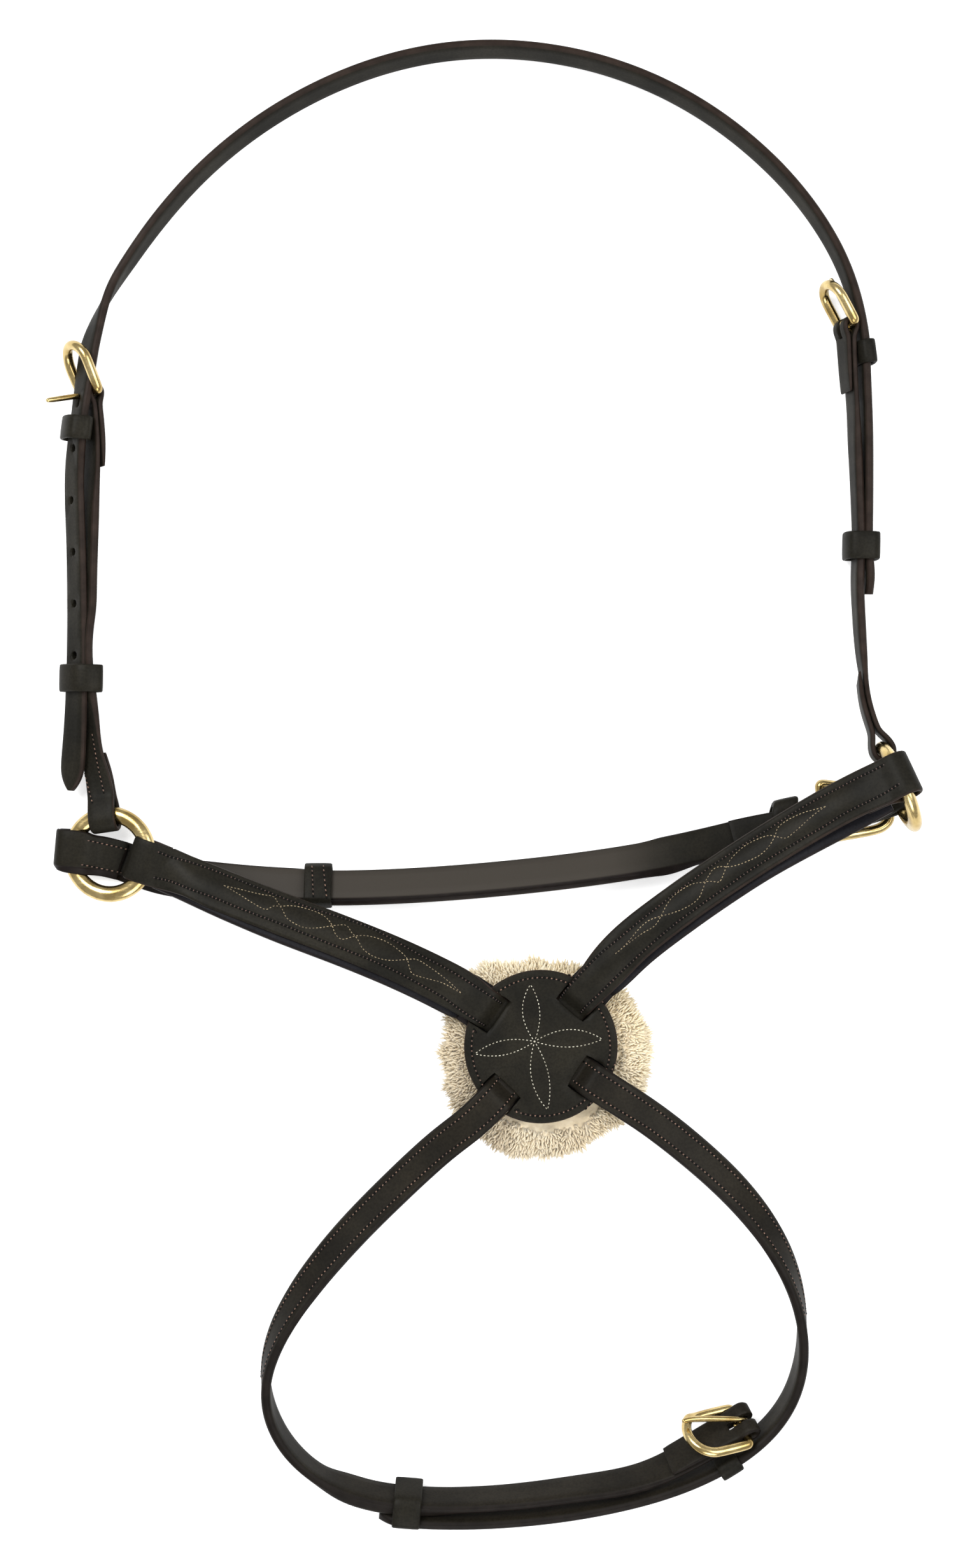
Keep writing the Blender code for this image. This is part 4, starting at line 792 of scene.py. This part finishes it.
def border_rows(node, inset, keep):
    """Lines that run inside the borders of the node's upward faces, as runs of (point, up)."""
    mesh = welded(node)
    region, areas = regions(mesh)
    nudged(mesh, node)
    mesh.normal_update()
    upward = {}
    for face, number in region.items():
        upward[number] = upward.get(number, 0) + face.normal.z * face.calc_area()
    faces = {f for f, n in region.items() if areas[n] > FACE_SHARE * max(areas) and upward[n] > 0}
    moved, beside = inset_border(mesh, faces, inset)
    runs = []
    for chain in chained(beside):
        run = []
        for vert in chain:
            point, up = moved[vert]
            if keep(point) and up.z > LEAST_SLOPE:
                run.append((point.copy(), up.copy()))
                continue
            if len(run) > 1:
                runs.append(run)
            run = []
        if len(run) > 1:
            runs.append(run)
    mesh.free()
    return runs


def seated(runs, surface):
    """The runs moved onto the nearest point of the surface, left out where that is too far."""
    result = []
    for run in runs:
        fine = []
        for (a, up_a), (b, up_b) in zip(run, run[1:]):
            steps = max(1, int((b - a).length / SEAT_STEP))
            fine += [(a.lerp(b, k / steps), up_a.lerp(up_b, k / steps)) for k in range(steps)]
        fine.append(run[-1])
        seat = []
        for point, up in fine:
            place, normal, _, distance = surface.find_nearest(point)
            if place is not None and distance < SEAT_REACH and normal.dot(up) > LEAST_FACING:
                seat.append((place, normal))
        if len(seat) > 1:
            result.append(seat)
    return result


def drawn(points, surface):
    """A line of the photo's pixels, smoothed and laid on the surface as a run of (point, up)."""
    ends = [Vector(points[0]) * 2 - Vector(points[1])] + [Vector(p) for p in points]
    ends.append(Vector(points[-1]) * 2 - Vector(points[-2]))
    run = []
    for a, b, c, d in zip(ends, ends[1:], ends[2:], ends[3:]):
        steps = max(2, int((c - b).length / DRAWN_STEP))
        for k in range(steps):
            t = k / steps
            p = b * 2 + (c - a) * t + (a * 2 - b * 5 + c * 4 - d) * t * t + (b * 3 - a - c * 3 + d) * t ** 3
            place, normal, _, _ = surface.ray_cast(EYE, sight(p.x / 2, p.y / 2))
            if place is not None:
                run.append((place, normal))
    return run


# Stitches

def new_tree(name, inputs):
    """A geometry tree with named inputs of a kind, and the identifiers that set them on a modifier."""
    tree = bpy.data.node_groups.new(name, "GeometryNodeTree")
    for way in ("INPUT", "OUTPUT"):
        tree.interface.new_socket("Geometry", in_out=way, socket_type="NodeSocketGeometry")
    ids = {}
    for label, kind in inputs.items():
        socket = tree.interface.new_socket(label, in_out="INPUT", socket_type="NodeSocket" + kind)
        ids[label.lower()] = socket.identifier
    return tree, ids


def stitch_tree():
    """Stitches along lines: each a small rounded thread that follows its line, with a dark grain after it that
    paints the shade of its awl hole.
    """
    inputs = {"Pitch": "Float", "Stitch": "Vector", "Hole": "Vector", "Slant": "Float"}
    tree, ids = new_tree("stitch_row", {**inputs, "Thread": "Material", "Dark": "Material"})
    nodes, links = tree.nodes, tree.links
    source = nodes.new("NodeGroupInput")
    result = nodes.new("NodeGroupOutput")
    curve = nodes.new("GeometryNodeMeshToCurve")
    links.new(source.outputs["Geometry"], curve.inputs["Mesh"])
    steps = nodes.new("GeometryNodeResampleCurve")
    steps.mode = "LENGTH"
    links.new(curve.outputs["Curve"], steps.inputs["Curve"])
    links.new(source.outputs["Pitch"], steps.inputs["Length"])
    tangent = nodes.new("GeometryNodeInputTangent")
    up = nodes.new("GeometryNodeInputNamedAttribute")
    up.data_type = "FLOAT_VECTOR"
    up.inputs["Name"].default_value = "up"
    ahead = nodes.new("FunctionNodeAlignRotationToVector")
    ahead.axis = "X"
    links.new(tangent.outputs["Tangent"], ahead.inputs["Vector"])
    upright = nodes.new("FunctionNodeAlignRotationToVector")
    upright.axis = "Z"
    upright.pivot_axis = "X"
    links.new(ahead.outputs["Rotation"], upright.inputs["Rotation"])
    links.new(up.outputs["Attribute"], upright.inputs["Vector"])
    slant = nodes.new("ShaderNodeCombineXYZ")
    links.new(source.outputs["Slant"], slant.inputs["Z"])
    turn = nodes.new("FunctionNodeEulerToRotation")
    links.new(slant.outputs["Vector"], turn.inputs["Euler"])
    slanted = nodes.new("FunctionNodeRotateRotation")
    slanted.rotation_space = "LOCAL"
    links.new(upright.outputs["Rotation"], slanted.inputs["Rotation"])
    links.new(turn.outputs["Rotation"], slanted.inputs["Rotate By"])
    join = nodes.new("GeometryNodeJoinGeometry")
    half = nodes.new("ShaderNodeMath")
    half.operation = "MULTIPLY"
    half.inputs[1].default_value = 0.5
    links.new(source.outputs["Pitch"], half.inputs[0])
    shift = nodes.new("ShaderNodeVectorMath")
    shift.operation = "SCALE"
    links.new(tangent.outputs["Tangent"], shift.inputs[0])
    links.new(half.outputs[0], shift.inputs["Scale"])
    # The hole is a near-black grain: painted shade in the awl hole.
    for size, finish, moved in (("Stitch", "Thread", False), ("Hole", "Dark", True)):
        points = steps.outputs["Curve"]
        if moved:
            move = nodes.new("GeometryNodeSetPosition")
            links.new(points, move.inputs["Geometry"])
            links.new(shift.outputs["Vector"], move.inputs["Offset"])
            points = move.outputs["Geometry"]
        grain = nodes.new("GeometryNodeMeshUVSphere")
        grain.inputs["Segments"].default_value = GRAIN_SIDES
        grain.inputs["Rings"].default_value = GRAIN_RINGS
        grain.inputs["Radius"].default_value = 0.5
        set_in = nodes.new("GeometryNodeInstanceOnPoints")
        links.new(points, set_in.inputs["Points"])
        links.new(grain.outputs["Mesh"], set_in.inputs["Instance"])
        links.new(slanted.outputs["Rotation"], set_in.inputs["Rotation"])
        links.new(source.outputs[size], set_in.inputs["Scale"])
        whole = nodes.new("GeometryNodeRealizeInstances")
        links.new(set_in.outputs["Instances"], whole.inputs["Geometry"])
        smooth = nodes.new("GeometryNodeSetShadeSmooth")
        links.new(whole.outputs["Geometry"], smooth.inputs["Geometry"])
        dye = nodes.new("GeometryNodeSetMaterial")
        links.new(smooth.outputs["Geometry"], dye.inputs["Geometry"])
        links.new(source.outputs[finish], dye.inputs["Material"])
        links.new(dye.outputs["Geometry"], join.inputs["Geometry"])
    links.new(join.outputs["Geometry"], result.inputs["Geometry"])
    return tree, ids


STITCH_TREE, STITCH_INPUTS = stitch_tree()


def stitches(name, node, runs, row, thread, hole):
    """One piece of stitches along the runs."""
    points, ups, edges = [], [], []
    for run in runs:
        first = len(points)
        points += [place for place, _ in run]
        ups += [up.normalized() for _, up in run]
        edges += [(k, k + 1) for k in range(first, len(points) - 1)]
    data = bpy.data.meshes.new("line")
    data.from_pydata(points, edges, [])
    attribute = data.attributes.new("up", "FLOAT_VECTOR", "POINT")
    attribute.data.foreach_set("vector", [c for up in ups for c in up])
    line = bpy.data.objects.new("line", data)
    bpy.context.scene.collection.objects.link(line)
    modifier = line.modifiers.new("stitch", "NODES")
    modifier.node_group = STITCH_TREE
    for key, value in row._asdict().items():
        modifier[STITCH_INPUTS[key]] = value
    modifier[STITCH_INPUTS["thread"]] = thread
    modifier[STITCH_INPUTS["dark"]] = hole
    return put(name, evaluated(line), node)


# Pieces

def ring_mesh(node):
    """A smooth round ring in the place of the CAD ring."""
    joint = next(j for j in frame["joints"] if j["child"] == BODY_OF[node])
    centre, axis = Vector(joint["pos_m"]), Vector(joint["axis"]).normalized()
    reaches = [(v.co - centre) for v in frame["nodes"][node].data.vertices]
    far = max((r - axis * r.dot(axis)).length for r in reaches)
    near = min((r - axis * r.dot(axis)).length for r in reaches)
    radius, wire = (far + near) / 2 - RING_DRAW, (far - near) / 2
    broad, deep = wire + RING_SWELL[0], wire + RING_SWELL[1]
    side = axis.orthogonal().normalized()
    other = axis.cross(side)
    mesh = bmesh.new()
    loops = []
    for k in range(RING_STEPS):
        turn = 2 * math.pi * k / RING_STEPS
        out = side * math.cos(turn) + other * math.sin(turn)
        loops.append([])
        for j in range(RING_SIDES):
            roll = 2 * math.pi * j / RING_SIDES
            place = centre + out * (radius + broad * math.cos(roll)) + axis * deep * math.sin(roll)
            loops[-1].append(mesh.verts.new(place))
    for k in range(RING_STEPS):
        a, b = loops[k], loops[(k + 1) % RING_STEPS]
        for j in range(RING_SIDES):
            mesh.faces.new((a[j], b[j], b[(j + 1) % RING_SIDES], a[(j + 1) % RING_SIDES])).smooth = True
    bmesh.ops.recalc_face_normals(mesh, faces=mesh.faces)
    data = bpy.data.meshes.new(node)
    mesh.to_mesh(data)
    mesh.free()
    return data


def wool_tree():
    """Fine locks of wool over a surface outside a middle, leaning away from it and straying at random."""
    inputs = {"Spacing": "Float", "Length": "Float", "Thickness": "Float", "Inside": "Float"}
    tree, ids = new_tree("wool_pile", {**inputs, "Middle": "Vector", "Wool": "Material"})
    nodes, links = tree.nodes, tree.links
    source = nodes.new("NodeGroupInput")
    result = nodes.new("NodeGroupOutput")

    def vector_step(operation, first, second=None):
        step = nodes.new("ShaderNodeVectorMath")
        step.operation = operation
        links.new(first, step.inputs[0])
        if second is not None:
            join_socket(links, second, step.inputs["Scale" if operation == "SCALE" else 1])
        return step.outputs["Value" if operation == "LENGTH" else "Vector"]

    def chance(kind, low, high, seed):
        dice = nodes.new("FunctionNodeRandomValue")
        dice.data_type = kind
        dice.inputs["Seed"].default_value = seed
        ends = [s for s in dice.inputs if s.enabled and s.name in ("Min", "Max")]
        ends[0].default_value, ends[1].default_value = low, high
        return next(s for s in dice.outputs if s.enabled)

    place = nodes.new("GeometryNodeInputPosition")
    away = vector_step("SUBTRACT", place.outputs["Position"], source.outputs["Middle"])
    away = vector_step("MULTIPLY", away, (1, 1, 0))
    outside = nodes.new("FunctionNodeCompare")
    outside.data_type = "FLOAT"
    outside.operation = "GREATER_THAN"
    links.new(vector_step("LENGTH", away), outside.inputs[0])
    links.new(source.outputs["Inside"], outside.inputs[1])
    scatter = nodes.new("GeometryNodeDistributePointsOnFaces")
    scatter.distribute_method = "POISSON"
    scatter.inputs["Density Max"].default_value = WOOL_DENSITY
    scatter.inputs["Seed"].default_value = WOOL_SEED
    links.new(source.outputs["Geometry"], scatter.inputs["Mesh"])
    links.new(outside.outputs["Result"], scatter.inputs["Selection"])
    links.new(source.outputs["Spacing"], scatter.inputs["Distance Min"])
    lean = vector_step("SCALE", vector_step("NORMALIZE", away), WOOL_LEAN)
    lean = vector_step("ADD", lean, scatter.outputs["Normal"])
    lean = vector_step("ADD", lean, chance("FLOAT_VECTOR", [-c for c in WOOL_STRAY], WOOL_STRAY, 1))
    aim = nodes.new("FunctionNodeAlignRotationToVector")
    aim.axis = "Z"
    links.new(lean, aim.inputs["Vector"])
    lock = nodes.new("GeometryNodeMeshCone")
    lock.inputs["Vertices"].default_value = LOCK_SIDES
    lock.inputs["Side Segments"].default_value = 2
    lock.inputs["Radius Top"].default_value = LOCK_TIP_SHARE
    lock.inputs["Radius Bottom"].default_value = 0.5
    lock.inputs["Depth"].default_value = 1
    long = nodes.new("ShaderNodeMath")
    long.operation = "MULTIPLY"
    links.new(source.outputs["Length"], long.inputs[0])
    links.new(chance("FLOAT", *LOCK_LENGTH_SHARES, 3), long.inputs[1])
    size = nodes.new("ShaderNodeCombineXYZ")
    links.new(source.outputs["Thickness"], size.inputs["X"])
    links.new(source.outputs["Thickness"], size.inputs["Y"])
    links.new(long.outputs[0], size.inputs["Z"])
    grow = nodes.new("GeometryNodeInstanceOnPoints")
    links.new(scatter.outputs["Points"], grow.inputs["Points"])
    links.new(lock.outputs["Mesh"], grow.inputs["Instance"])
    links.new(aim.outputs["Rotation"], grow.inputs["Rotation"])
    links.new(size.outputs["Vector"], grow.inputs["Scale"])
    whole = nodes.new("GeometryNodeRealizeInstances")
    links.new(grow.outputs["Instances"], whole.inputs["Geometry"])
    join = nodes.new("GeometryNodeJoinGeometry")
    links.new(source.outputs["Geometry"], join.inputs["Geometry"])
    links.new(whole.outputs["Geometry"], join.inputs["Geometry"])
    smooth = nodes.new("GeometryNodeSetShadeSmooth")
    links.new(join.outputs["Geometry"], smooth.inputs["Geometry"])
    dye = nodes.new("GeometryNodeSetMaterial")
    links.new(smooth.outputs["Geometry"], dye.inputs["Geometry"])
    links.new(source.outputs["Wool"], dye.inputs["Material"])
    links.new(dye.outputs["Geometry"], result.inputs["Geometry"])
    return tree, ids


def rough(place, waves):
    """Noise at a place, in millimetres: the sum of waves of (scale, height)."""
    return sum(noise.noise(place * scale) * height for scale, height in waves)


def wool_pad(finish):
    """The sheepskin: the pad's own shape, pushed about by noise, with locks of wool round its rim."""
    mesh = smoothed(temporary(welded("sheepskin_pad")), PAD_LEVELS)
    low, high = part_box("sheepskin_pad")
    middle = (low + high) / 2
    normals = [vert.normal.copy() for vert in mesh.vertices]
    for vert, normal in zip(mesh.vertices, normals):
        away = Vector((vert.co.x - middle.x, vert.co.y - middle.y, 0)).normalized()
        vert.co += away * (rough(vert.co, RIM_WAVES) * MM - RIM_DRAW)
        vert.co += normal * rough(vert.co, PILE_WAVES) * MM
        if vert.co.z > PAD_FOOT:
            vert.co.z -= PAD_SINK
    pad = bpy.data.objects.new("pad", mesh)
    bpy.context.scene.collection.objects.link(pad)
    tree, ids = wool_tree()
    modifier = pad.modifiers.new("wool", "NODES")
    modifier.node_group = tree
    for key, value in {**WOOL_SIZES, "middle": middle, "wool": finish}.items():
        modifier[ids[key]] = value
    grown = evaluated(pad)
    for vert in grown.vertices:
        vert.co.z = max(vert.co.z, WOOL_LOW)
    piece = put("sheepskin_wool", grown, "sheepskin_pad")
    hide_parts("sheepskin_pad")


def petal(tip, widths):
    """The two sides of a petal, each from the flower's centre to its tip, in the photo's pixels."""
    centre, tip = Vector(FLOWER_CENTRE), Vector(tip)
    along = tip - centre
    across = Vector((-along.y, along.x)).normalized()
    shares = [k / PETAL_STEPS for k in range(PETAL_STEPS + 1)]
    sides = []
    for width in (widths[0], -widths[1]):
        swell = [
            math.sin(math.pi * s ** PETAL_BELLY) ** PETAL_FULLNESS * width if 0 < s < 1 else 0 for s in shares
        ]
        sides.append([tuple(centre + along * s + across * w) for s, w in zip(shares, swell)])
    return sides


def leather_pieces(leathers):
    """Every strap, round and keeper, and the surface of each for its stitches."""
    surfaces = {}
    for node in LEATHER + KEEPERS:
        mesh = dressed(node, KEEPER_CREASE if node in KEEPERS else EDGE_CREASE)
        piece = put(node + "_leather", mesh, node, leathers[LEATHER_OF.get(node, "bridle_leather")])
        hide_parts(node)
        places, faces = [v.co for v in mesh.vertices], [p.vertices for p in mesh.polygons]
        surfaces[node] = BVHTree.FromPolygons(places, faces)
    return surfaces


def brass_pieces(brass):
    """The rings, and the buckles with their wires swollen to the photo's thickness."""
    for node in RINGS:
        piece = put(node + "_brass", ring_mesh(node), node, brass)
        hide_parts(node)
    for node in BUCKLES:
        mesh = welded(node, BRASS_PAIRING)
        nudged(mesh, node)
        mesh.normal_update()
        swell = FRAME_SWELL if node.endswith("buckle") else TONGUE_SWELL
        for vert, normal in [(v, v.normal.copy()) for v in mesh.verts]:
            vert.co += normal * swell
        piece = put(node + "_brass", smoothed(temporary(mesh), SMOOTH_LEVELS), node, brass)
        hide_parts(node)


def on_rim(point):
    """Whether a point lies on the disc's outer ring."""
    low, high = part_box("cross_disc")
    return (point - (low + high) / 2).xy.length > (high.x - low.x) / 2 - DISC_RIM


def off_buckle(point):
    """Whether a point of a lower strap lies clear of the lower buckle's lap."""
    x, y = pixel(point)
    return y < OFF_BUCKLE[1] or x < OFF_BUCKLE[0]


def thread_pieces(surfaces, threads, hole):
    """The plain rows, then the ornament."""
    for node, inset, keep in (
        ("lower_left_strap", STRAP_INSET, off_buckle),
        ("lower_right_strap", STRAP_INSET, off_buckle),
        ("cross_disc", DISC_INSET, on_rim),
    ):
        runs = seated(border_rows(node, inset, keep), surfaces[node])
        stitches(node + "_stitches", node, runs, EDGE_ROW, threads["dark_thread"], hole)
    for rows, ending, row, thread in (
        (NOSE_ROWS, "_stitches", NOSE_ROW, "nose_thread"),
        (LAP_ROWS, "_rows", LAP_ROW, "dark_thread"),
        (FANCY_LINES, "_fancy", FANCY_ROW, "khaki_thread"),
    ):
        for node, lines in rows.items():
            runs = [drawn(line, surfaces[node]) for line in lines]
            stitches(node + ending, node, runs, row, threads[thread], hole)
    runs = [drawn(side, surfaces["cross_disc"]) for tip, widths in PETALS for side in petal(tip, widths)]
    stitches("flower_stitches", "cross_disc", runs, FLOWER_ROW, threads["white_thread"], hole)


def main():
    """The studio, then the finishes, then the pieces from the leather up."""
    make_camera()
    make_world()
    make_floor()
    centre = photo_centre()
    for name, (place, size, power) in LAMPS.items():
        make_lamp(name, centre + Vector(place), centre, size, power)
    leathers = {n: leather_finish(n, *(srgb(*tone) for tone in tones)) for n, tones in LEATHER_TONES.items()}
    threads = {n: thread_finish(n, *(srgb(*tone) for tone in tones)) for n, tones in THREAD_TONES.items()}
    surfaces = leather_pieces(leathers)
    brass_pieces(brass_finish("polished_brass"))
    wool_pad(wool_finish("sheepskin"))
    thread_pieces(surfaces, threads, leathers["awl_hole_shade"])


main()
